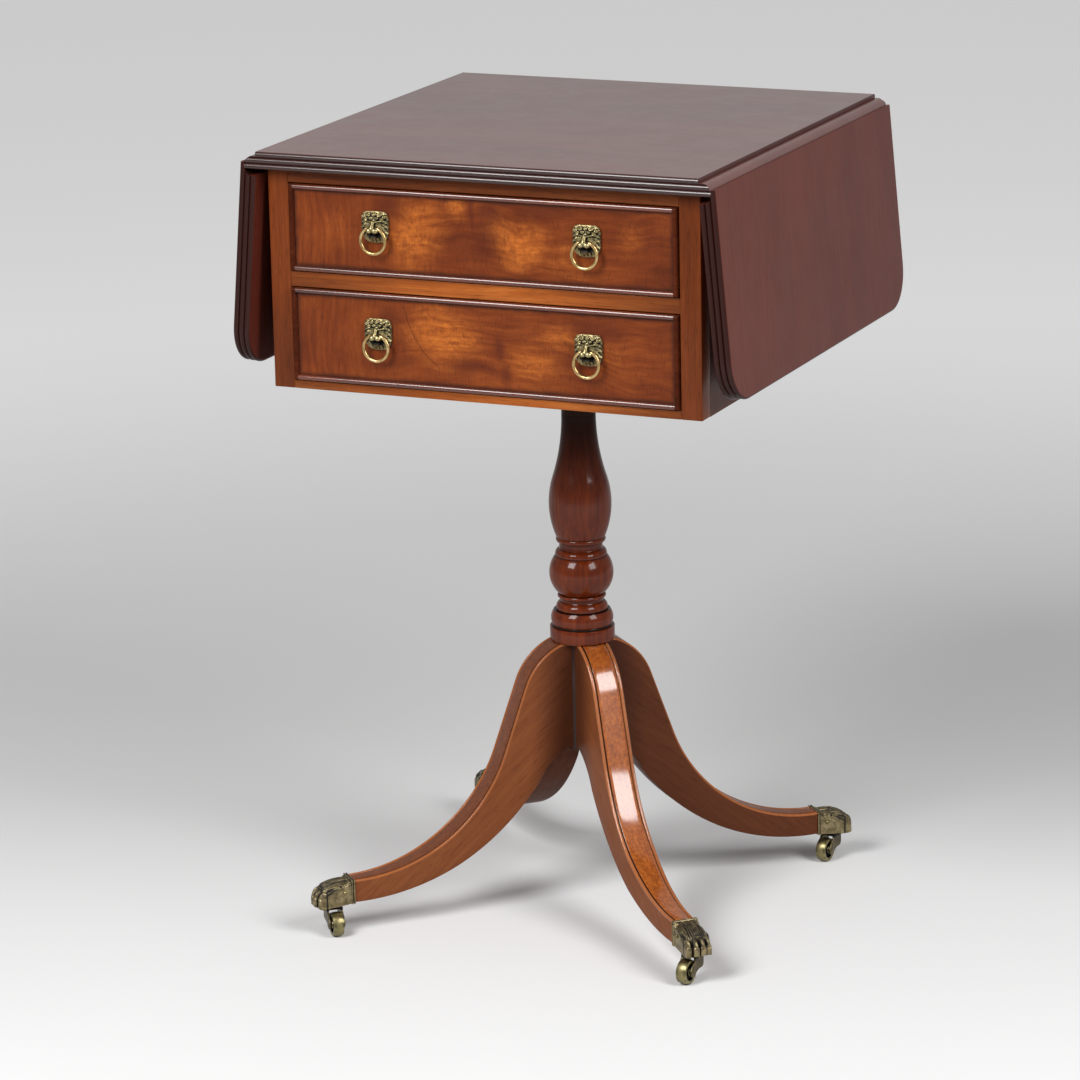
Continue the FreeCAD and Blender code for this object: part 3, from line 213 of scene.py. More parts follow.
def wood(name, tones, rotation, roughness=0.34, specular=0.1, coat=0.05, coat_roughness=0.12, coat_ior=1.5,
         edge=None, contrast=1.0, foot=None, dusk=None, ends=None, fade=None, step=None):
    """Polished mahogany with its grain along one way.

    Where edge gives a way and two values, faces whose turn to that way lies past the values get
    painted shade. So does what lies below foot (the hub), what rises past dusk (two heights: the
    case's painted shadow on the shaft), what lies further than ends from the middle (upright beads),
    which is also dull, and bit by bit what nears the far value of fade (a rail's ends). Faces that
    look up get no painted edge shade, and faces that look along step get painted shade and are dull.
    Points that carry a value in a turning's grooves are darker: grime and painted shade.
    """
    shader = Shader(name)
    x, _, z = shader.parts(shader.place)
    fibre, broad, pores = grain(shader, rotation)
    blotch = shader.noise(shader.place, 8, detail=2)
    value = shader.weighed((fibre, 0.4), (broad, 0.4), (blotch, 0.2))
    half = 0.12 / contrast
    dark, middle, light = tones
    tone = shader.ramp(value, [(0.5 - half, dark), (0.5, middle), (0.5 + half, light)])
    pore_tone = (*(part * 0.35 for part in shade(*dark)), 1)
    tone = shader.mix(shader.times(pores, 0.45 * contrast), tone, pore_tone)
    worn = shader.times(shader.painted("wear"), shader.span(blotch, 0.35, 0.65, 0.2, 0.7))
    tone = shader.mix(worn, tone, light)
    # Grime and painted shade in a turning's grooves, coves and seams.
    tone = shader.mix(shader.painted("grime_and_shade"), tone, GROOVE_GRIME_AND_SHADE)
    # Painted shade on edges and reeds by which way they face; none on faces that look up.
    if edge:
        way, start, full = edge
        facing = shader.vector("DOT_PRODUCT", shader.normal, way, output="Value")
        rim = shader.span(shader.math("ABSOLUTE", facing), start, full, smooth=True)
        rim = shader.times(rim, shader.span(shader.parts(shader.normal)[2], 0.9, 0.97, 1.0, 0.0))
        tone = shader.mix(rim, tone, EDGE_SHADE)
    # Painted shade on the hub between the legs, below foot.
    if foot:
        tone = shader.mix(shader.span(z, foot, foot - 0.004), tone, HUB_SHADE)
    # Painted shadow of the case on the column's shaft, above dusk; duller there too.
    if dusk:
        most = 0.92
        late = shader.span(z, *dusk, 0.0, most, smooth=True)
        tone = shader.mix(late, tone, CASE_SHADOW)
        coat = shader.span(late, 0, most, coat, 0.1)
    # Painted shade that grows towards a rail's ends.
    if fade:
        away = shader.span(shader.math("ABSOLUTE", x), *fade, 0.0, 0.62, smooth=True)
        tone = shader.mix(away, tone, RAIL_END_SHADE)
    # Painted shade on the upright beads at the ends, which are dull too.
    if ends:
        far = shader.span(shader.math("ABSOLUTE", x), ends, ends + 0.0005)
        tone = shader.mix(shader.times(far, 0.5), tone, UPRIGHT_BEAD_SHADE)
        coat = shader.span(far, 0, 1, coat, 0.0)
    wear = shader.noise(shader.place, 34, detail=4, roughness=0.65)
    rough = shader.span(wear, 0.3, 0.7, roughness - 0.05, roughness + 0.06)
    if edge:
        rough = shader.times(rough, shader.span(rim, 0, 1, 1.0, 0.45))
        coat = shader.span(rim, 0, 1, coat, 0.3)
    # Painted shade on the top's side step, which is dull too.
    if step:
        along = shader.math("ABSOLUTE", shader.vector("DOT_PRODUCT", shader.normal, step, output="Value"))
        band = shader.span(along, 0.9, 0.97)
        tone = shader.mix(band, tone, STEP_SHADE)
        coat = shader.span(band, 0, 1, coat, 0.04)
    height = shader.weighed((fibre, 0.5), (pores, -0.7))
    return shader.finish(
        Base_Color=tone, Roughness=rough, Normal=shader.bump(height, 0.12, 0.0003),
        Specular_IOR_Level=specular, Coat_Weight=coat, Coat_Roughness=coat_roughness, Coat_IOR=coat_ior)


def cloud(shader, place, centre, half):
    """A soft patch on the drawer front: 1 in its middle, 0 outside; sizes in metres."""
    scale = (1 / half[0], 0, 1 / half[1])
    near = shader.mapped(place, scale, location=(-centre[0] / half[0], 0, -centre[1] / half[1]))
    return shader.span(shader.vector("LENGTH", near, output="Value"), 1.15, 0.15, smooth=True)


def stroke(shader, points, width):
    """A thin line along points on a drawer front: 1 on it, 0 beside it."""
    flat = shader.vector("MULTIPLY", shader.place, (1, 0, 1))
    gaps = []
    for (ax, az), (bx, bz) in zip(points, points[1:]):
        off = shader.vector("SUBTRACT", flat, (ax, 0, az))
        along = shader.vector("DOT_PRODUCT", off, (bx - ax, 0, bz - az), output="Value")
        share = shader.span(along, 0, (bx - ax) ** 2 + (bz - az) ** 2)
        foot = shader.joined(shader.times(share, bx - ax), 0, shader.times(share, bz - az))
        gap = shader.vector("LENGTH", shader.vector("SUBTRACT", off, foot), output="Value")
        gaps.append(shader.times(gap, -1.0))
    return shader.span(together(shader, gaps), -width, -0.3 * width)


def together(shader, values):
    """The largest of several values."""
    total = values[0]
    for value in values[1:]:
        total = shader.math("MAXIMUM", total, value)
    return total


def flame(name, low, high, gold, dark, line):
    """Crotch mahogany veneer: golden clouds and dark streaks that fan out, and painted shade by the beads.
    """
    shader = Shader(name)
    place = shader.place
    x, _, z = shader.parts(place)
    half_length, middle, crack_width = 0.1702, (low + high) / 2, 0.0008
    mean_noise = (0.5, 0.5, 0.5)
    warp = shader.vector("SUBTRACT", shader.noise(place, 10, detail=2, color=True), mean_noise)
    bent = shader.vector("MULTIPLY_ADD", warp, (0.03, 0.0, 0.05), place)
    fray = shader.noise(shader.mapped(place, (50, 50, 70)), detail=4, color=True)
    fray = shader.vector("SUBTRACT", fray, mean_noise)
    ragged = shader.vector("MULTIPLY_ADD", fray, (0.016, 0.0, 0.02), bent)
    streak = shader.noise(shader.mapped(bent, (22, 1, 210), rotation=(0, 40, 0)), detail=5, roughness=0.62)
    upright = shader.noise(shader.mapped(bent, (230, 1, 16)), detail=5, roughness=0.62)
    turn = shader.span(x, -0.16, -0.02, smooth=True)
    fibre = shader.weighed((upright, shader.math("SUBTRACT", 1.0, turn)), (streak, turn))
    drift = shader.noise(shader.mapped(bent, (15, 1, 19), location=(2.3, 0.7, 1.9)))
    value = shader.weighed((fibre, 0.5), (drift, 0.5))
    tone = shader.ramp(value, [(0.32, (82, 35, 15)), (0.46, (103, 46, 19)),
                               (0.56, (117, 55, 22)), (0.68, (138, 70, 28))])
    patches = together(shader, [shader.times(cloud(shader, ragged, (cx, middle + cz), half), power)
                                for cx, cz, half, power in gold])
    glint = shader.noise(shader.mapped(ragged, (150, 1, 260), rotation=(0, 30, 0)), detail=5, roughness=0.7)
    bright = shader.times(patches, shader.span(glint, 0.32, 0.6, 0.3, 1.0))
    golden = shader.ramp(fibre, [(0.36, (148, 75, 27)), (0.62, (186, 104, 42))])
    tone = shader.mix(bright, tone, golden)
    shadows = together(shader, [cloud(shader, bent, (cx, middle + cz), half) for cx, cz, half in dark])
    tone = shader.mix(shader.times(shadows, 0.62), tone, (78, 32, 17))
    if line:
        crack = stroke(shader, [(cx, middle + cz) for cx, cz in line], crack_width)
        tone = shader.mix(shader.times(crack, 0.5), tone, (58, 26, 15))
    fleck = shader.noise(shader.mapped(bent, (900, 1, 130), rotation=(0, 12, 0)), detail=2)
    pores = shader.span(fleck, 0.55, 0.7)
    tone = shader.mix(shader.times(pores, 0.32), tone, (52, 22, 12))
    # Painted shade next to the beads and the front's ends.
    to_bead = shader.math("MINIMUM", shader.math("SUBTRACT", z, low), shader.math("SUBTRACT", high, z))
    to_end = shader.math("SUBTRACT", half_length, shader.math("ABSOLUTE", x))
    to_rim = shader.math("MINIMUM", to_end, to_bead)
    bead_shade = shader.math("MULTIPLY_ADD", shader.noise(place, 60), 0.004, to_rim)
    tone = shader.mix(shader.span(bead_shade, 0.0065, 0.001, smooth=True), tone, (58, 28, 18))
    wear = shader.noise(place, 40, detail=4)
    height = shader.weighed((fibre, 0.5), (pores, -0.6))
    return shader.finish(
        Base_Color=tone, Roughness=shader.span(wear, 0.3, 0.7, 0.3, 0.42), Specular_IOR_Level=0.1,
        Normal=shader.bump(height, 0.1, 0.0003), Coat_Weight=0.05, Coat_Roughness=0.14)


def brass(name, bright, dull, dark, roughness=0.34):
    """Aged brass: patina in its hollows, and painted shade where a carving adds it, both from a value that
    the mesh carries.
    """
    shader = Shader(name)
    tarnish = shader.noise(shader.place, 190, detail=5, roughness=0.6)
    fine = shader.noise(shader.place, 1500)
    tone = shader.mix(shader.span(tarnish, 0.35, 0.65), bright, dull)
    # Patina in hollows and the carvings' painted shade darken the brass.
    tarnish_and_shade = shader.math("ADD", shader.painted("patina_and_shade"), shader.math("MULTIPLY_ADD", tarnish, 0.5, -0.25))
    hollow = shader.span(tarnish_and_shade, 0.18, 0.6, smooth=True)
    tone = shader.mix(hollow, tone, dark)
    rough = shader.span(fine, 0.3, 0.7, roughness - 0.06, roughness + 0.1)
    height = shader.weighed((tarnish, 1.0), (fine, 0.4))
    return shader.finish(
        Base_Color=tone, Metallic=shader.span(hollow, 0, 1, 1.0, 0.55),
        Roughness=shader.math("MULTIPLY_ADD", hollow, 0.25, rough), Normal=shader.bump(height, 0.12, 0.0002))


def steel(name):
    """Plain iron of screws and pins."""
    shader = Shader(name)
    rust = shader.noise(shader.place, 300, detail=4)
    tone = shader.mix(shader.span(rust, 0.45, 0.7), (120, 116, 110), (86, 66, 50))
    return shader.finish(Base_Color=tone, Metallic=1.0, Roughness=shader.span(rust, 0.3, 0.7, 0.35, 0.6))


def plain_wood(name, rotation):
    """Bare oak of drawer linings, runners and hidden boards."""
    shader = Shader(name)
    fibre, broad, pores = grain(shader, rotation)
    value = shader.weighed((fibre, 0.5), (broad, 0.5))
    tone = shader.ramp(value, [(0.38, (126, 92, 56)), (0.5, (162, 124, 80)),
                               (0.62, (184, 148, 102))])
    tone = shader.mix(shader.times(pores, 0.5), tone, (84, 58, 34))
    height = shader.math("MULTIPLY_ADD", pores, -0.8, fibre)
    return shader.finish(Base_Color=tone, Roughness=shader.span(broad, 0.3, 0.7, 0.5, 0.65),
                         Normal=shader.bump(height, 0.2, 0.0004))


# Meshes


def placed(name, data):
    """A new object in the scene."""
    item = bpy.data.objects.new(name, data)
    bpy.context.scene.collection.objects.link(item)
    return item


def paint(mesh, name, values):
    """Give the points of a mesh a value each, which its material reads."""
    mesh.attributes.new(name, "FLOAT", "POINT").data.foreach_set("value", np.array(values, np.float32))


def meshed(name, vertices, faces, material):
    """A new mesh, in metres, of one material."""
    mesh = bpy.data.meshes.new(name)
    mesh.from_pydata(np.asarray(vertices).tolist(), [], faces)
    mesh.materials.append(material)
    return mesh


def shown(name, mesh, body, replaced, matrix=None, sharp=35):
    """Put a mesh in the scene as a piece of the object, with edges sharper than an angle kept sharp."""
    mesh.validate()
    mesh.shade_smooth()
    if sharp:
        mesh.set_sharp_from_angle(angle=math.radians(sharp))
    item = placed(name, mesh)
    if matrix:
        item.matrix_world = matrix
    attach(item, body)
    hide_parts(*replaced)


def unit(values):
    """Values cut off below 0 and above 1."""
    return np.clip(values, 0, 1)


def arc(start, end, bulge, steps):
    """Points from start to end on an arc that stands off its chord to the right of the way."""
    start, end = np.array(start, float), np.array(end, float)
    run = end - start
    length = np.linalg.norm(run)
    right = np.array([run[1], -run[0]]) / length
    radius = (length * length / 4 + bulge * bulge) / (2 * bulge)
    centre = (start + end) / 2 + right * (bulge - radius)
    first = math.atan2(*(start - centre)[::-1])
    swing = math.atan2(*(end - centre)[::-1]) - first
    swing = (swing + math.pi) % (2 * math.pi) - math.pi
    angles = first + swing * np.linspace(0, 1, steps + 1)
    return centre + abs(radius) * np.column_stack([np.cos(angles), np.sin(angles)])


def resampled(points, count):
    """The same line with points at equal steps."""
    points = np.array(points, float)
    lengths = np.concatenate([[0], np.cumsum(np.linalg.norm(np.diff(points, axis=0), axis=1))])
    at = np.linspace(0, lengths[-1], count)
    return np.column_stack([np.interp(at, lengths, points[:, axis]) for axis in (0, 1)])


def spun(outline, segments):
    """Rings of points about Z, one ring for each (radius, height)."""
    angles = np.linspace(0, 2 * math.pi, segments, endpoint=False)
    return [(radius * math.cos(angle), radius * math.sin(angle), height)
            for radius, height in outline for angle in angles]


def quads(rings, size, first=0, closed=False):
    """Faces between neighbouring rings of points, and from the last ring to the first where closed."""
    faces = []
    for row in range(rings if closed else rings - 1):
        low, high = first + row * size, first + (row + 1) % rings * size
        for number in range(size):
            after = (number + 1) % size
            faces.append((low + number, low + after, high + after, high + number))
    return faces


def lathe(outline, segments):
    """A turned mesh about Z from (radius, height) points that start and end on the axis."""
    inner = outline[1:-1]
    vertices = [(0, 0, outline[0][1])] + spun(inner, segments) + [(0, 0, outline[-1][1])]
    last = len(vertices) - 1
    top = last - segments
    faces = quads(len(inner), segments, first=1)
    for number in range(segments):
        after = (number + 1) % segments
        faces += [(0, 1 + after, 1 + number), (top + number, top + after, last)]
    return np.array(vertices), faces


def surface_net(field, low, step):
    """The closed quad mesh where a field of distances on a grid is zero."""
    inside = field < 0
    corners = [(i, j, k) for i in (0, 1) for j in (0, 1) for k in (0, 1)]
    sizes = [size - 1 for size in field.shape]
    part = {corner: tuple(slice(c, c + size) for c, size in zip(corner, sizes)) for corner in corners}
    count = sum(inside[part[corner]].astype(int) for corner in corners)
    mixed = (count > 0) & (count < 8)
    number = np.full(mixed.shape, -1)
    number[mixed] = np.arange(mixed.sum())
    cells = np.argwhere(mixed).astype(float)
    total = np.zeros_like(cells)
    hits = np.zeros(len(cells))
    for first in corners:
        for axis in range(3):
            if first[axis]:
                continue
            second = tuple(1 if a == axis else c for a, c in enumerate(first))
            start, end = field[part[first]][mixed], field[part[second]][mixed]
            cross = (start < 0) != (end < 0)
            share = np.where(cross, start / np.where(cross, start - end, 1), 0)
            point = np.tile(np.array(first, float), (len(cells), 1))
            point[:, axis] = share
            total += point * cross[:, None]
            hits += cross
    vertices = (cells + total / hits[:, None]) * step + low
    faces = []
    for axis in range(3):
        one, two = [other for other in range(3) if other != axis]
        ahead = np.take(inside, range(1, field.shape[axis]), axis)
        behind = np.take(inside, range(field.shape[axis] - 1), axis)
        for sign, turned in ((behind & ~ahead, axis != 1), (ahead & ~behind, axis == 1)):
            spots = np.argwhere(sign)
            ring = []
            for shift_one, shift_two in ((-1, -1), (0, -1), (0, 0), (-1, 0)):
                cell = spots.copy()
                cell[:, one] += shift_one
                cell[:, two] += shift_two
                ring.append(number[tuple(cell.T)])
            ring = np.column_stack(ring)
            faces.append(ring if turned else ring[:, ::-1])
    return vertices, np.concatenate(faces).tolist()


def dome(points, centre, half):
    """Distance to an ellipsoid, near enough for carving."""
    ratio = (points - centre) / half
    near = np.linalg.norm(ratio, axis=1)
    return near * (near - 1) / np.maximum(np.linalg.norm(ratio / half, axis=1), 1e-9)


def horn(points, start, end, first, last):
    """Distance to a rounded bar whose radius runs from first to last."""
    start, end = np.array(start, float), np.array(end, float)
    run = end - start
    share = unit((points - start) @ run / (run @ run))
    return np.linalg.norm(points - start - share[:, None] * run, axis=1) - first - (last - first) * share


def block(points, centre, half, radius):
    """Distance to a box with rounded edges."""
    away = np.abs(points - centre) - np.array(half) + radius
    return np.linalg.norm(np.maximum(away, 0), axis=1) + np.minimum(away.max(axis=1), 0) - radius


def melt(first, second, width):
    """Two shapes joined with a fillet."""
    share = unit(0.5 + 0.5 * (second - first) / width)
    return second * (1 - share) + first * share - width * share * (1 - share)


def carve(first, second, width):
    """The first shape with the second one hollowed out of it."""
    return -melt(-first, second, width)


def carved(name, shape, low, high, step, material, grime_and_shade=None):
    """The mesh of a carved shape in millimetres, with how dark each point is: patina in a hollow, and any
    grime and painted shade given.
    """
    axes = [np.arange(start, end + step, step) for start, end in zip(low, high)]
    points = np.stack(np.meshgrid(*axes, indexing="ij"), axis=-1).reshape(-1, 3)
    field = shape(points).reshape([len(axis) for axis in axes])
    vertices, faces = surface_net(field, np.array(low, float), step)
    mesh = meshed(name, vertices * MM, faces, material)
    normals = np.zeros(len(vertices) * 3)
    mesh.vertices.foreach_get("normal", normals)
    normals = normals.reshape(-1, 3)
    hidden = np.zeros(len(vertices))
    reaches = (0.6, 1.3, 2.4)
    for reach in reaches:
        hidden += unit(1 - shape(vertices + normals * reach) / reach) / len(reaches)
    # Grime and painted shade from the carving's own function.
    if grime_and_shade:
        hidden += grime_and_shade(vertices)
    paint(mesh, "patina_and_shade", hidden)
    return mesh


# Carved brass


def lion_mask(points):
    """A lion's head: X right, Y into the drawer front, Z up, in millimetres about its middle."""
    breadth, crown, square_crown, round_chin = 1.05, 1.3, 5.0, 3.0
    height = np.where(points[:, 2] > 0, crown * points[:, 2], points[:, 2])
    side = np.column_stack([np.abs(points[:, 0]) / breadth, -points[:, 1], height])
    x, depth, z = side.T
    power = np.where(z > 0, square_crown, round_chin)
    shield = (((x / 11.8) ** power + (np.abs(z) / 15.0) ** power) ** (1 / power) - 1) * 12
    shape = melt(np.maximum(shield, depth - 1.9), dome(side, (0, 0, 0), (11.2, 3.4, 14.2)), 0.8)
    shape = melt(shape, dome(side, (0, 0.8, 9.0), (11.2, 2.8, 5.6)), 0.8)
    locks = (((7.2, 3.2, 5.4), (10.6, 1.8, 2.6), 1.9, 1.6), ((7.4, 3.0, 1.6), (10.6, 1.6, -2.0), 1.9, 1.6),
             ((7.0, 2.6, -2.4), (9.8, 1.4, -6.6), 1.8, 1.5), ((6.0, 2.2, -6.2), (8.0, 1.2, -10.2), 1.7, 1.4))
    for lock in locks:
        shape = melt(shape, horn(side, *lock), 0.3)
    away = np.hypot(x / 12, z / 15)
    ripple = unit((away - 0.5) * 5) * unit((7 - z) / 3)
    shape = shape + 0.2 * np.sin(np.arctan2(x, z) * 30 + 4 * away) * ripple
    curls = ((0, 12.0, 3.2, 2.5), (4.8, 11.7, 3.0, 2.45), (9.2, 9.9, 2.4, 2.35), (2.5, 8.2, 4.2, 1.9),
             (6.8, 7.4, 3.8, 1.9))
    for middle, height, depth_at, size in curls:
        curl = dome(side, (middle, depth_at, height), (size, size * 0.85, size))
        away = np.hypot(x - middle, z - height)
        spiral = np.sin(away * 3.6 + np.arctan2(z - height, x - middle))
        curl = curl + 0.3 * spiral * unit((size - away) / 0.5)
        shape = melt(shape, curl, 0.2)
    face = dome(side, (0, 2.4, 0.2), (7.0, 3.2, 7.6))
    face = melt(face, dome(side, (5.0, 2.8, -2.6), (3.0, 2.2, 4.4)), 0.8)
    shape = melt(shape, face, 0.4)
    features = (
        (carve, dome, 0.4, (3.5, 7.0, 2.3), (2.2, 1.9, 1.6)),  # eye socket
        (melt, horn, 0.4, (0.9, 6.1, 4.0), (5.8, 4.5, 5.0), 1.25, 0.9),  # brow
        (melt, horn, 0.5, (0, 6.2, 4.4), (0, 9.0, -1.2), 1.45, 1.75),  # bridge of the nose
        (melt, dome, 0.15, (3.4, 5.1, 2.4), (1.2, 1.1, 0.9)),  # eyeball
        (melt, dome, 0.25, (2.4, 7.6, -3.7), (3.0, 3.3, 2.6)),  # muzzle
        (melt, dome, 0.2, (0, 10.1, -1.7), (2.1, 1.2, 1.2)),  # tip of the nose
        (carve, dome, 0.2, (1.1, 11.2, -2.3), (0.6, 0.7, 0.5)),  # nostril
        (melt, dome, 0.4, (0, 5.2, -9.0), (3.2, 3.2, 2.1)),  # chin
        (carve, dome, 0.3, (0, 9.0, -7.0), (3.3, 3.4, 0.9)),  # mouth
        (melt, horn, 0.35, (0, 4.0, -10.4), (0, 1.8, -13.8), 1.6, 1.3),  # beard, in three locks
        (melt, horn, 0.35, (2.6, 3.6, -10.0), (3.2, 1.6, -13.4), 1.6, 1.3),
        (melt, horn, 0.35, (5.0, 2.8, -8.8), (6.0, 1.4, -12.0), 1.6, 1.3),
    )
    for join, form, width, *sizes in features:
        shape = join(shape, form(side, *sizes), width)
    return np.maximum(np.maximum(shape, shield), -depth - 0.2)


def mask_shade(points):
    """Painted shade round a lion's mouth and jaw, and on the sides of its mane."""
    x, z = np.abs(points[:, 0]), points[:, 2]
    mouth = 0.55 * np.exp(-((z + 8.4) / 3.0) ** 2) * unit((8 - x) / 2)
    mane = 0.22 * unit((x - 6.5) / 2) * unit((7 - z) / 2)
    return np.maximum(mouth, mane)


def fur_line(points):
    """How far a point of a paw lies above the edge of its fur, which slants to the toes."""
    s, _, z = points.T
    return z - 44.2 + 0.66 * np.maximum(s - 10, 0) - 0.6 * np.sin(s * 0.8)


def paw_back(points):
    """Distance to the paw's side view: flat over the ankle, round to the toes, a sloped sole."""
    s, y, z = points.T
    bend, tip, crown, nail = 10.0, 36.2, 48.2, 33.0
    z = z + 0.036 * y * y * unit((s - 3.5) / 3)
    over = (np.hypot((s - bend) / (tip - bend), (z - nail) / (crown - nail)) - 1) * 13
    shape = np.where((s > bend) & (z > nail), over, np.maximum(s - tip, z - crown))
    sole = 24.25 + np.clip(1.9 - 0.11 * s, 0, 1.9) + np.clip((s - 29) * 0.4, 0, 3)
    return np.maximum(shape, sole - points[:, 2])


def paw(points):
    """A paw cap: X out from the leg's end, Z up from the floor, in millimetres."""
    side = np.column_stack([points[:, 0], np.abs(points[:, 1]), points[:, 2]])
    s, y, z = side.T
    back = paw_back(side)
    shape = np.maximum(block(side, (13.0, 0, 36), (14.2, 10.5, 12.6), 1.2), back + 1.0)
    fur = np.maximum(block(side, (16, 0, 36), (13.0, 11.7, 12.4), 2.6), back + 0.5)
    fur = np.maximum(fur, np.maximum(-fur_line(side) * 0.8, 4.4 - s))
    shape = melt(shape, fur, 0.12)
    for row in (2.9, 8.2):
        lift = -0.1 * row
        lock = horn(side, (4.8, row * 0.92, 46.4 + lift), (15, row, 46.0 + lift), 1.9, 2.5)
        lock = melt(lock, horn(side, (15, row, 46.0 + lift), (24, row, 42.4 + lift), 2.5, 2.6), 0.4)
        shape = melt(shape, np.maximum(lock, back - 0.3), 0.2)
    strand = unit(fur_line(side) / 2.0) * unit((s - 4.6) / 2) * unit((30 - s) / 6)
    waves = y * 3.2 + 0.9 * np.sin(s * 0.45) + (z + 0.7 * s) * 1.3 * (y > 8.5)
    shape = shape + 0.42 * np.sin(waves) * strand
    for row, tip, half in ((3.05, 36.2, 2.9), (8.85, 33.6, 2.85)):
        toe = dome(side, (tip - 7.6, row, 33.4), (7.7, half, 7.4))
        toe = melt(toe, block(side, (tip - 5.6, row, 29.4), (5.5, half - 0.15, 5.0), 1.4), 0.8)
        crease = horn(side, (tip, row - 2.4, 32.6), (tip, row + 2.4, 32.6), 0.5, 0.5)
        toe = carve(toe, crease, 0.6)
        toe = melt(toe, horn(side, (tip - 1.3, row, 30.8), (tip - 0.7, row, 27.4), 1.2, 0.9), 0.4)
        shape = melt(shape, np.maximum(toe, back - 0.2), 0.6)
    shape = np.maximum(shape, back - 0.3)
    for heel in (0.85, 2.95):
        shape = melt(shape, block(side, (heel, 0, 37.4), (0.7, 11.4, 11.1), 0.5), 0.15)
    return np.maximum(shape, -s)


def paw_grime_and_shade(points):
    """Dirt in the fur and on the toes' tops, and painted shade in the crease between the cheek and the toes.
    """
    s, y, z = points.T
    fur = unit(fur_line(points) / 1.5) * unit((s - 4) / 1.5) * unit((z - 32) / 4)
    # Painted shade in the crease between the cheek and the toes.
    gap = 0.8 * np.exp(-((s - 26.4) / 0.9) ** 2) * unit((np.abs(y) - 9) / 1.5) * (z < 40)
    return np.maximum(0.26 * fur, gap)


def outline_distance(x, z, corners):
    """Distance to a closed outline of straight edges, negative inside it."""
    nearest = np.full(len(x), np.inf)
    inside = np.zeros(len(x), bool)
    for (ax, az), (bx, bz) in zip(corners, corners[1:] + corners[:1]):
        along = (x - ax) * (bx - ax) + (z - az) * (bz - az)
        share = unit(along / ((bx - ax) ** 2 + (bz - az) ** 2))
        nearest = np.minimum(nearest, np.hypot(x - ax - share * (bx - ax), z - az - share * (bz - az)))
        over = (az > z) != (bz > z)
        inside ^= over & (x < ax + (z - az) / np.where(over, bz - az, 1) * (bx - ax))
    return np.where(inside, -nearest, nearest)


def caster_fork(points):
    """A caster's horn: the stem's axis is Z, the wheel trails along X, in millimetres."""
    x, y, z = points.T
    trail, axle_height = 11, 10.8
    side = np.column_stack([x, np.abs(y), z])
    corners = [(-7.0, 23.6), (-7.0, 14.6), (-6.2, 12.6), (-4.6, 11.6), (2.0, 11.2), (5.0, 9.9), (7.4, 7.8),
               (9.4, 6.9), (11.6, 6.9), (13.6, 8.0), (14.7, 10.4), (14.3, 12.6), (12.2, 15.4), (9.2, 18.2),
               (7.0, 20.4), (5.8, 23.6)]
    edge = outline_distance(x, z, corners)
    away = np.column_stack([edge + 0.1, np.abs(np.abs(y) - 6.15) - 0.6])
    cheek = np.linalg.norm(np.maximum(away, 0), axis=1) + np.minimum(away.max(axis=1), 0) - 0.4
    shape = melt(cheek, block(side, (-0.4, 0, 22.9), (6.8, 7.1, 1.0), 0.4), 0.6)
    shape = melt(shape, dome(side, (trail, 7.0, axle_height), (2.9, 0.6, 2.9)), 0.3)
    shape = melt(shape, dome(side, (trail, 7.1, axle_height), (1.7, 0.52, 1.7)), 0.08)
    stem = np.maximum(np.hypot(x, y) - 3.1, np.abs(z - 28.4) - 5.4)
    axle = np.maximum(np.hypot(x - trail, z - axle_height) - 1.45, np.abs(y) - 6.5)
    return np.minimum(np.minimum(shape, stem), axle)


def fork_shade(points):
    """Painted shade on the crown plate of a caster, under the paw."""
    return 0.9 * unit((points[:, 2] - 21.0) / 0.8)


# Turned and shaped wood


def column_outline():
    """The column's half section in millimetres from the hub up, and each point's grime and painted shade."""
    hub, vase, neck = 20.999, 23.7, 15
    # seam: painted shade where a swelling turning meets the next one
    fineness, seam, rounding = 0.8, 0.8, 0.5
    # Each turning's height, its radius below and above, its swell, and its grime and painted shade
    turnings = [(97, hub, hub, 0, 0), (12, 28.4, 28.4, 0, 0), (1.8, 26.4, 26.4, 0, 1),
                (12.8, 26.2, 24.8, 1.8, 0), (0.6, 21.8, 21.8, 0, 1), (7, 22.6, 19.4, 1.3, 0),
                (3.6, 18.9, 18.9, -0.5, 0.3), (3, 20.6, 20.6, 0.7, 0), (34.8, 19.4, 23, 6.9, 0),
                (6.4, 22.6, 19.8, 1.2, 0), (5.9, 19.6, 19.6, -0.6, 0.3), (4.8, 20.6, 20.6, 1.3, 0),
                (53.8, 21.5, vase, 4.8, 0), (55.5, vase, neck, -2.2, 0), (30.9, neck, neck, 0, 0)]
    level = 141.0
    outline, turning_grime_and_shade = [(0, level)], [0]
    for height, low, high, swell, grime_and_shade in turnings:
        if swell:
            steps = max(8, int(height / fineness))
            points = [tuple(point) for point in arc((low, level), (high, level + height), swell, steps)]
            dark = [grime_and_shade] * len(points)
            if swell > 0:
                dark[0] = seam
                dark[-1] = seam if high != vase else 0
        else:
            soft = min(rounding, height / 3)
            points = [(low - soft, level), (low - soft * 0.3, level + soft * 0.3), (low, level + soft),
                      (high, level + height - soft), (high - soft * 0.3, level + height - soft * 0.3),
                      (high - soft, level + height)]
            dark = [grime_and_shade] * len(points)
        outline += points
        turning_grime_and_shade += dark
        level += height
    return outline + [(0, level)], turning_grime_and_shade + [0]


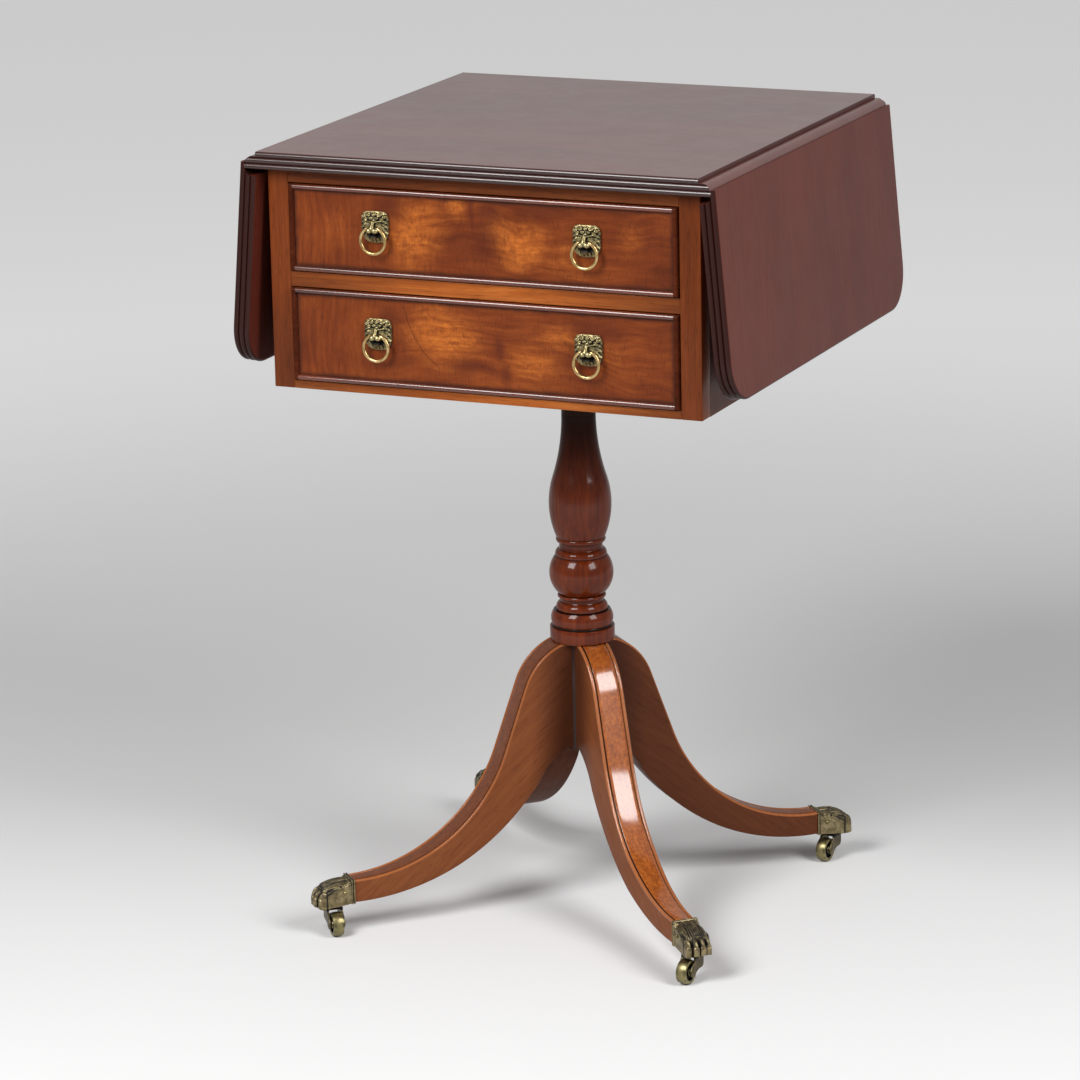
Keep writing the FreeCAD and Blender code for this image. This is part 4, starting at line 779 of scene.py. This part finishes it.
def leg_mesh():
    """A sabre leg along X in metres, beaded along both upper edges, with groove and panel values."""
    drum, knee, bend, ankle = (25.4, 237.9), (59.5, 202.0), (79.5, 147.0), (221.0, 47.8)
    root, under_knee, heel = (21.0, 142.5), (50.0, 113.0), (221.0, 27.3)
    upper = [np.array([(20.2, 237.9), drum]), arc(drum, knee, -5.6, 24)[1:], np.array([bend])]
    lower = [np.array([(20.2, 142.8), root]), arc(root, under_knee, -3.5, 16)[1:]]
    near = np.column_stack([resampled(np.concatenate(upper), 40), resampled(np.concatenate(lower), 40)])
    far = np.column_stack([resampled(arc(bend, ankle, 28, 80), 70),
                           resampled(arc(under_knee, heel, 23.5, 80), 70)])
    sections = np.concatenate([near, far[1:]])
    hub, half_width, ankle_width, taper_start = 21.06, 14.0, 10.0, 128.0
    bead = 1.5
    # Points of half a section: inset, depth, groove and panel
    rim = [(bead - bead * math.cos(angle), bead - bead * math.sin(angle), 0.0, 0.3)
           for angle in np.linspace(0, math.pi, 9)]
    rim += [(3.25, 1.75, 1.0, 0.0), (3.65, 1.75, 1.0, 0.0), (3.85, 0.55, 0.7, 0.5), (4.2, 0.3, 0.0, 1.0),
            (6.5, 0.12, 0.0, 1.0), (9.5, 0.02, 0.0, 1.0)]
    vertices, grooves, panels = [], [], []
    for ux, uz, lx, lz in sections:
        top, foot = np.array([ux, uz]), np.array([lx, lz])
        down = (foot - top) / np.linalg.norm(foot - top)
        height = np.linalg.norm(foot - top)
        profile = [(1.2, height, 0, 0), (0.35, height - 0.35, 0, 0), (0.0, height - 1.2, 0, 0),
                   (0.0, height * 0.66, 0, 0), (0.0, height * 0.33, 0, 0), (0.0, 2.2, 0, 0)] + rim
        right = []
        for inset, depth, groove, panel in profile:
            x, z = top + down * depth
            share = unit((x - taper_start) / (ankle[0] - taper_start))
            wide = half_width + (ankle_width - half_width) * share - inset
            if not vertices:
                x = math.sqrt(hub * hub - wide * wide)
            right.append((x, wide, z, groove, panel))
        ring = right + [(x, -y, z, groove, panel) for x, y, z, groove, panel in right[::-1]]
        vertices += [(x * MM, y * MM, z * MM) for x, y, z, _, _ in ring]
        grooves += [item[3] for item in ring]
        panels += [item[4] for item in ring]
    size = len(vertices) // len(sections)
    faces = quads(len(sections), size)
    faces.append(tuple(range(size))[::-1])
    faces.append(tuple(range(len(vertices) - size, len(vertices))))
    mesh = bpy.data.meshes.new("leg")
    mesh.from_pydata(vertices, [], faces)
    paint(mesh, "groove", grooves)
    paint(mesh, "panel", panels)
    return mesh


def softened(node, material):
    """Put a plain board with rounded, worn edges in a node's place."""
    radius = 0.0007
    low, high = (Vector(corner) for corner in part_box(node))
    work = bmesh.new()
    bmesh.ops.create_cube(work, size=1)
    for vertex in work.verts:
        vertex.co = Vector([a + (b - a) * (share + 0.5) for a, b, share in zip(low, high, vertex.co)])
    bmesh.ops.bevel(work, geom=work.edges[:], offset=radius, segments=4, profile=0.5, affect="EDGES")
    mesh = bpy.data.meshes.new(node)
    work.to_mesh(mesh)
    work.free()
    inner = [(a + radius * 0.9, b - radius * 0.9) for a, b in zip(low, high)]
    past = [sum(not a < value < b for value, (a, b) in zip(vertex.co, inner)) for vertex in mesh.vertices]
    paint(mesh, "wear", [float(count > 1) for count in past])
    mesh.materials.append(material)
    shown(f"{node}_board", mesh, "frame", [node], sharp=30)


def wheel_mesh(material):
    """A caster wheel about Z in metres: crowned tread, rounded rim, sunk web and hub."""
    crown = [(9.55 + 1.2 * math.sin(math.pi * (0.18 + 0.64 * share)), -4.35 + 8.7 * share)
             for share in np.linspace(0, 1, 15)]
    half = [(1.6, 4.6), (3.1, 4.6), (3.4, 4.3), (3.5, 3.8), (3.7, 2.3), (4.2, 2.05), (6.5, 2.05), (7.0, 2.3),
            (7.2, 4.2), (7.5, 4.6), (7.9, 4.72), (9.3, 4.72), (9.85, 4.62)]
    outline = [(radius, -height) for radius, height in half] + crown + half[::-1]
    segments = 72
    vertices = np.array(spun(outline, segments)) * MM
    mesh = meshed("wheel", vertices, quads(len(outline), segments, closed=True), material)
    hollow = [float(3.45 < radius < 7.3 and abs(height) < 4.4) for radius, height in outline]
    paint(mesh, "patina_and_shade", np.repeat(hollow, segments))
    return mesh


def leg_wood(name, tones, panel_tones, polish):
    """Mahogany of a leg: grime and painted shade in the grooves, a polished panel, painted shade at the
    root, painted highlight and wear on the beads.
    """
    shader = Shader(name)
    place = shader.place
    fibre, broad, pores = grain(shader, (0, -40, 0))
    groove, panel = shader.painted("groove"), shader.painted("panel")
    value = shader.weighed((fibre, 0.7), (broad, 0.3))
    side = shader.ramp(value, list(zip((0.25, 0.5, 0.75), tones)))
    mottle = shader.noise(place, 330, detail=4, roughness=0.65)
    figure = shader.weighed((value, 0.45), (mottle, 0.55))
    gold = shader.ramp(figure, list(zip((0.33, 0.5, 0.67), panel_tones)))
    tone = shader.mix(panel, side, gold)
    # Painted shade near the hub, where the legs meet.
    root = shader.span(shader.parts(place)[0], 0.023, 0.06, 0.75, 0.0, smooth=True)
    root = shader.times(root, shader.span(panel, 0, 1, 1.0, 0.3))
    tone = shader.mix(root, tone, (58, 28, 19))
    # Beads lighter: wear and a painted highlight.
    bead = shader.times(shader.span(panel, 0.1, 0.28), shader.span(panel, 0.5, 0.32))
    rubbed_and_highlit = shader.times(bead, shader.span(broad, 0.35, 0.6, 0.35, 0.75))
    tone = shader.mix(rubbed_and_highlit, tone, (172, 100, 50))
    tone = shader.mix(shader.times(pores, 0.4), tone, (40, 20, 12))
    # Grooves near black: grime and painted shade.
    tone = shader.mix(shader.span(groove, 0.3, 0.8), tone, (22, 10, 7))
    wear = shader.noise(place, 40, detail=4)
    height = shader.weighed((fibre, 0.5), (pores, -0.7))
    return shader.finish(
        Base_Color=tone, Roughness=shader.span(wear, 0.3, 0.7, 0.36, 0.48),
        Normal=shader.bump(height, 0.1, 0.0003), Specular_IOR_Level=0.06, Coat_Roughness=0.13, Coat_IOR=1.65,
        Coat_Weight=shader.span(panel, 0.05, 0.3, 0.02, polish))


# Materials, and the solids that keep their own shape

TOP_TONES = ((76, 31, 24), (94, 41, 31), (108, 51, 38))
LEAF_TONES = ((72, 29, 20), (87, 37, 27), (100, 46, 34))
LEAF_FLARE = math.radians(5)
# Painted shade on the reeds of the top and the leaves, and on the top's side step
top_wood = wood("top_mahogany", TOP_TONES, GRAIN_X, roughness=0.36, specular=0.3, coat=1.0,
                coat_roughness=0.22, coat_ior=1.7, edge=((0, 1, 0), 0.12, 0.4), contrast=0.6, step=(1, 0, 0))
right_wood, left_wood = (
    wood(f"{side}_leaf_mahogany", LEAF_TONES, GRAIN_Z, roughness=0.4, specular=0.02, coat=0.32,
         coat_roughness=0.2, edge=((sign * math.cos(LEAF_FLARE), 0, math.sin(LEAF_FLARE)), 0.97, 0.86),
         contrast=0.55) for side, sign in (("right", 1), ("left", -1)))
upright_wood = wood("upright_mahogany", ((82, 37, 14), (101, 46, 17), (120, 59, 25)), GRAIN_Z)
# Rails: painted shade towards their ends
rail_wood = wood("rail_mahogany", ((112, 54, 21), (152, 80, 31), (182, 106, 47)), GRAIN_X,
                 fade=(0.04, 0.18))
# The top rail: a darker copy of the rail wood, as painted shade under the top's overhang
shaded_head_wood = wood("shaded_head_rail_mahogany", ((76, 34, 14), (104, 50, 20), (122, 64, 28)), GRAIN_X)
side_wood = wood("side_mahogany", ((58, 26, 16), (82, 38, 22), (104, 52, 30)), GRAIN_Y)
back_wood = wood("back_mahogany", ((70, 32, 18), (96, 46, 24), (116, 60, 32)), GRAIN_X)
# Cockbeads: painted shade and no coat on the upright beads at the ends
bead_wood = wood("bead_mahogany", ((58, 22, 11), (86, 36, 17), (112, 51, 25)), GRAIN_X,
                 roughness=0.3, specular=0.04, coat=1.0, coat_roughness=0.06, coat_ior=1.6, ends=0.17)
# The column: painted shade on the hub, and the case's painted shadow on the shaft
column_wood = wood("column_mahogany", ((50, 13, 4), (86, 30, 7), (122, 51, 13)), GRAIN_Z,
                   roughness=0.3, specular=0.02, coat=0.48, coat_roughness=0.13, contrast=0.6, foot=0.2378,
                   dusk=(0.36, 0.44))
SIDE_TONES = ((106, 58, 32), (121, 69, 40), (136, 81, 48))
SHADED_TONES = ((76, 40, 24), (88, 48, 29), (100, 56, 34))
DULL_PANEL = ((88, 46, 25), (108, 58, 32), (128, 72, 41))
LIT_GOLD_PANEL = ((110, 53, 21), (147, 77, 29), (180, 102, 41))
# The back legs' darker wood is painted shade; the front right leg's golden panel is painted light.
plain_leg = leg_wood("leg_mahogany", SIDE_TONES, DULL_PANEL, 0.25)
lit_polished_leg = leg_wood("lit_polished_leg_mahogany", SIDE_TONES, LIT_GOLD_PANEL, 1.0)
shaded_leg = leg_wood("shaded_leg_mahogany", SHADED_TONES, DULL_PANEL, 0.25)
LEG_FINISH_AND_LIGHT = {"front_left": plain_leg, "front_right": lit_polished_leg,
              "back_left": shaded_leg, "back_right": shaded_leg}
# Golden clouds with their power, dark clouds and a crack's points, from the middle of each front
upper_flame = flame(
    "upper_flame_mahogany", 0.5986, 0.6635,
    [(-0.056, 0.0, (0.03, 0.036), 0.95), (-0.022, 0.02, (0.013, 0.015), 0.8),
     (0.034, -0.003, (0.036, 0.024), 1.0), (0.08, -0.012, (0.026, 0.016), 0.5),
     (0.135, 0.008, (0.016, 0.018), 0.35)],
    [(-0.007, 0.014, (0.0032, 0.024)), (0.011, 0.014, (0.012, 0.012)), (-0.085, 0.018, (0.02, 0.016)),
     (0.004, -0.004, (0.014, 0.02)), (0.06, 0.026, (0.034, 0.009))], ())
lower_flame = flame(
    "lower_flame_mahogany", 0.5052, 0.5753,
    [(-0.036, 0.004, (0.042, 0.036), 1.0), (0.046, -0.013, (0.03, 0.023), 0.62),
     (0.068, 0.011, (0.024, 0.018), 0.6), (0.118, 0.0, (0.022, 0.02), 0.3)],
    [(0.02, -0.026, (0.007, 0.014)), (0.1, 0.024, (0.03, 0.01)), (-0.012, -0.026, (0.03, 0.008)),
     (-0.086, 0.02, (0.014, 0.014)), (0.014, -0.002, (0.006, 0.018))],
    [(-0.072, 0.03), (-0.068, 0.016), (-0.062, 0.003), (-0.054, -0.009), (-0.042, -0.019)])
oak_long = plain_wood("oak_lengthways", GRAIN_Y)
oak_cross = plain_wood("oak_crossways", GRAIN_X)
cast_brass = brass("cast_brass", (180, 166, 122), (104, 94, 62), (14, 13, 9))
paw_brass = brass("paw_brass", (158, 143, 108), (100, 89, 64), (34, 30, 25))
wire_brass = brass("wire_brass", (204, 176, 124), (160, 132, 84), (44, 36, 22), roughness=0.28)
caster_brass = brass("caster_brass", (160, 148, 106), (98, 94, 66), (14, 13, 11))
# The casters' horns: a darker copy of the caster brass, as painted shade
shaded_fork_brass = brass("shaded_fork_brass", (112, 101, 74), (62, 56, 42), (12, 11, 9))
screw_steel = steel("screw_iron")

FINISHES = {
    top_wood: ["table_top"], right_wood: ["right_leaf"], left_wood: ["left_leaf"],
    side_wood: ["left_side", "right_side", "column_block"], back_wood: ["back_panel", "bottom_board"],
    bead_wood: ["upper_drawer_cockbead", "lower_drawer_cockbead"],
    upper_flame: ["upper_drawer_front"], lower_flame: ["lower_drawer_front"],
    oak_long: ["drawer_runners", "upper_drawer_sides", "lower_drawer_sides"],
    oak_cross: ["lopers", "loper_channels", "upper_drawer_back", "lower_drawer_back",
                "upper_drawer_bottom", "lower_drawer_bottom"],
    wire_brass: [f"{drawer}_drawer_{side}_ring" for drawer in MASK_Z for side in PULLS],
    cast_brass: ["hinge_top_plates", "left_leaf_hinge_plates", "right_leaf_hinge_plates",
                 "upper_drawer_pull_bolts", "lower_drawer_pull_bolts"],
    screw_steel: ["top_screws", "hinge_pins", "left_leaf_hinge_screws", "right_leaf_hinge_screws",
                  "block_screws"],
}
for finish, names in FINISHES.items():
    for name in names:
        NODES[name].data.materials.clear()
        NODES[name].data.materials.append(finish)

# New pieces

for name in ("left_stile", "right_stile"):
    softened(name, upright_wood)
softened("top_rail", shaded_head_wood)
for name in ("middle_rail", "bottom_rail"):
    softened(name, rail_wood)

SEGMENTS = 128
section, darkness = column_outline()
turned, turned_faces = lathe(section, SEGMENTS)
column = meshed("turned_column", turned * MM, turned_faces, column_wood)
# Grime and painted shade in the column's grooves, coves and seams
turning_grime_and_shade = darkness[:1] + [value for value in darkness[1:-1] for _ in range(SEGMENTS)] + darkness[-1:]
paint(column, "grime_and_shade", turning_grime_and_shade)
shown("turned_column", column, "frame", ["column"], sharp=40)

leg = leg_mesh()
foot = carved("paw", paw, (-1, -13.2, 23.2), (37.8, 13.2, 50.4), 0.4, paw_brass, paw_grime_and_shade)
foot.transform(Matrix.Translation((LEG_REACH, 0, 0)))
rivet_head = [(1.6, 10.8), (1.8, 11.0), (1.75, 11.3), (1.4, 11.7), (0.8, 11.92), (0, 12.0)]
pin, pin_faces = lathe([(radius, -out) for radius, out in rivet_head[::-1]] + rivet_head, 24)
rivets = meshed("rivet", pin * MM, pin_faces, cast_brass)
LYING = Matrix.Rotation(math.pi / 2, 4, "X")
rivets.transform(Matrix.Translation((LEG_REACH + RIVET_BACK, 0, RIVET_Z)) @ LYING)
horn_mesh = carved("fork", caster_fork, (-8.2, -8.2, 5.8), (15.8, 8.2, 34.8), 0.35, shaded_fork_brass, fork_shade)
wheel = wheel_mesh(caster_brass)
for corner, angle in CORNERS.items():
    spin = Matrix.Rotation(math.radians(angle), 4, "Z")
    limb = leg.copy()
    limb.materials.append(LEG_FINISH_AND_LIGHT[corner])
    shown(f"{corner}_sabre_leg", limb, "frame", [f"{corner}_leg"], spin)
    shown(f"{corner}_lion_paw", foot, "frame", [f"{corner}_paw_cap"], spin, sharp=None)
    shown(f"{corner}_rivet", rivets, "frame", ["cap_pins"], spin)
    stem = spin @ Matrix.Translation((STEM_REACH, 0, 0))
    swivel = Matrix.Translation(stem.translation) @ Matrix.Rotation(math.radians(HEADINGS[corner]), 4, "Z")
    shown(f"{corner}_horn", horn_mesh, f"{corner}_fork", [f"{corner}_caster_fork"], swivel,
          sharp=None)
    axle = swivel @ Matrix.Translation((TRAIL, 0, WHEEL_RADIUS)) @ LYING
    shown(f"{corner}_roller", wheel, f"{corner}_wheel", [f"{corner}_wheel"], axle)

# The lion masks: painted shade round the mouth and on the mane's sides
face = carved("lion", lion_mask, (-13.4, -12.4, -16.4), (13.4, 0.6, 16.4), 0.3, cast_brass, mask_shade)
for drawer, height in MASK_Z.items():
    for side, x in PULLS.items():
        shown(f"{drawer}_{side}_lion", face, f"{drawer}_drawer", [f"{drawer}_drawer_pull_masks"],
              Matrix.Translation((x, FRONT_Y, height)), sharp=None)

# Stage, light and camera


def seen(nodes):
    """1 for rays from the camera and for mirrored or refracted ones, 0 for those that light the object."""
    path = nodes.add("ShaderNodeLightPath")
    total = path.outputs["Is Camera Ray"]
    for name in ("Is Glossy Ray", "Is Transmission Ray"):
        total = nodes.math("MAXIMUM", total, path.outputs[name])
    return total


def stage():
    """A pale floor that runs out of sight, and an even pale sky."""
    shader = Shader("pale_floor")
    drift = shader.noise(shader.place, 1.3)
    distance = shader.vector("LENGTH", shader.place, output="Value")
    near = shader.span(distance, 0.5, 2.6, 0.0, 0.4, smooth=True)
    far_off = shader.span(distance, 7, 15, 0.0, 0.15, smooth=True)
    glow = shader.times(shader.math("SUBTRACT", near, far_off), seen(shader))
    tone = shader.mix(drift, (222, 222, 222), (228, 228, 228))
    pale = shader.finish(Base_Color=tone, Roughness=0.75, Specular_IOR_Level=0.2,
                         Emission_Color=(1, 1, 1, 1), Emission_Strength=glow)
    far = 30
    corners = [(-far, -far, 0), (far, -far, 0), (far, far, 0), (-far, far, 0)]
    floor = placed("floor", meshed("floor", corners, [(0, 1, 2, 3)], pale))
    sky_light, more_where_seen = 0.21, 0.2
    world = bpy.data.worlds.new("studio")
    bpy.context.scene.world = world
    world.use_nodes = True
    sky = Nodes(world.node_tree)
    background = sky.tree.nodes["Background"]
    sky.put(background.inputs["Color"], (1, 1, 1, 1))
    strength = sky.math("MULTIPLY_ADD", seen(sky), more_where_seen, sky_light)
    sky.put(background.inputs["Strength"], strength)


def camera():
    """The camera at the photograph's place: turned, tilted and rolled about a point in the table."""
    azimuth, pitch, roll, distance = 0.4182, 0.2644, -0.0207, 4.0611
    aim_side, aim_height = -0.0356, 0.3270
    focal_pixels, photo_pixels, sensor = 4653.018, 1080, 36
    level = Vector((math.cos(azimuth), math.sin(azimuth), 0))
    back = Vector((level.y * math.cos(pitch), -level.x * math.cos(pitch), math.sin(pitch)))
    rise = back.cross(level)
    right = level * math.cos(roll) + rise * math.sin(roll)
    up = rise * math.cos(roll) - level * math.sin(roll)
    target = level * aim_side + Vector((0, 0, aim_height))
    lens = bpy.data.cameras.new("camera")
    lens.lens = focal_pixels * sensor / photo_pixels
    lens.sensor_width = sensor
    lens.clip_end = 200
    item = placed("camera", lens)
    turn = Matrix((right, up, back)).transposed().to_4x4()
    item.matrix_world = Matrix.Translation(target + back * distance) @ turn
    bpy.context.scene.camera = item
    return turn.to_3x3()


def softbox(name, basis, direction, size, power):
    """An upright light seen from the camera in a direction, turned to the table."""
    aim, distance = Vector((0, 0, 0.45)), 2.2
    light = bpy.data.lights.new(name, "AREA")
    light.shape = "RECTANGLE"
    light.size, light.size_y = size
    light.energy = power
    away = (basis @ Vector(direction)).normalized()
    turn = away.to_track_quat("Z", "Y").to_matrix().to_4x4()
    placed(name, light).matrix_world = Matrix.Translation(aim + away * distance) @ turn


stage()
view = camera()
softbox("left_softbox", view, (-0.55, 0.4, 0.73), (0.9, 1.1), 47)
softbox("right_softbox", view, (0.6, 0.37, 0.71), (0.9, 1.2), 36)
bpy.context.scene.view_settings.view_transform = "Standard"
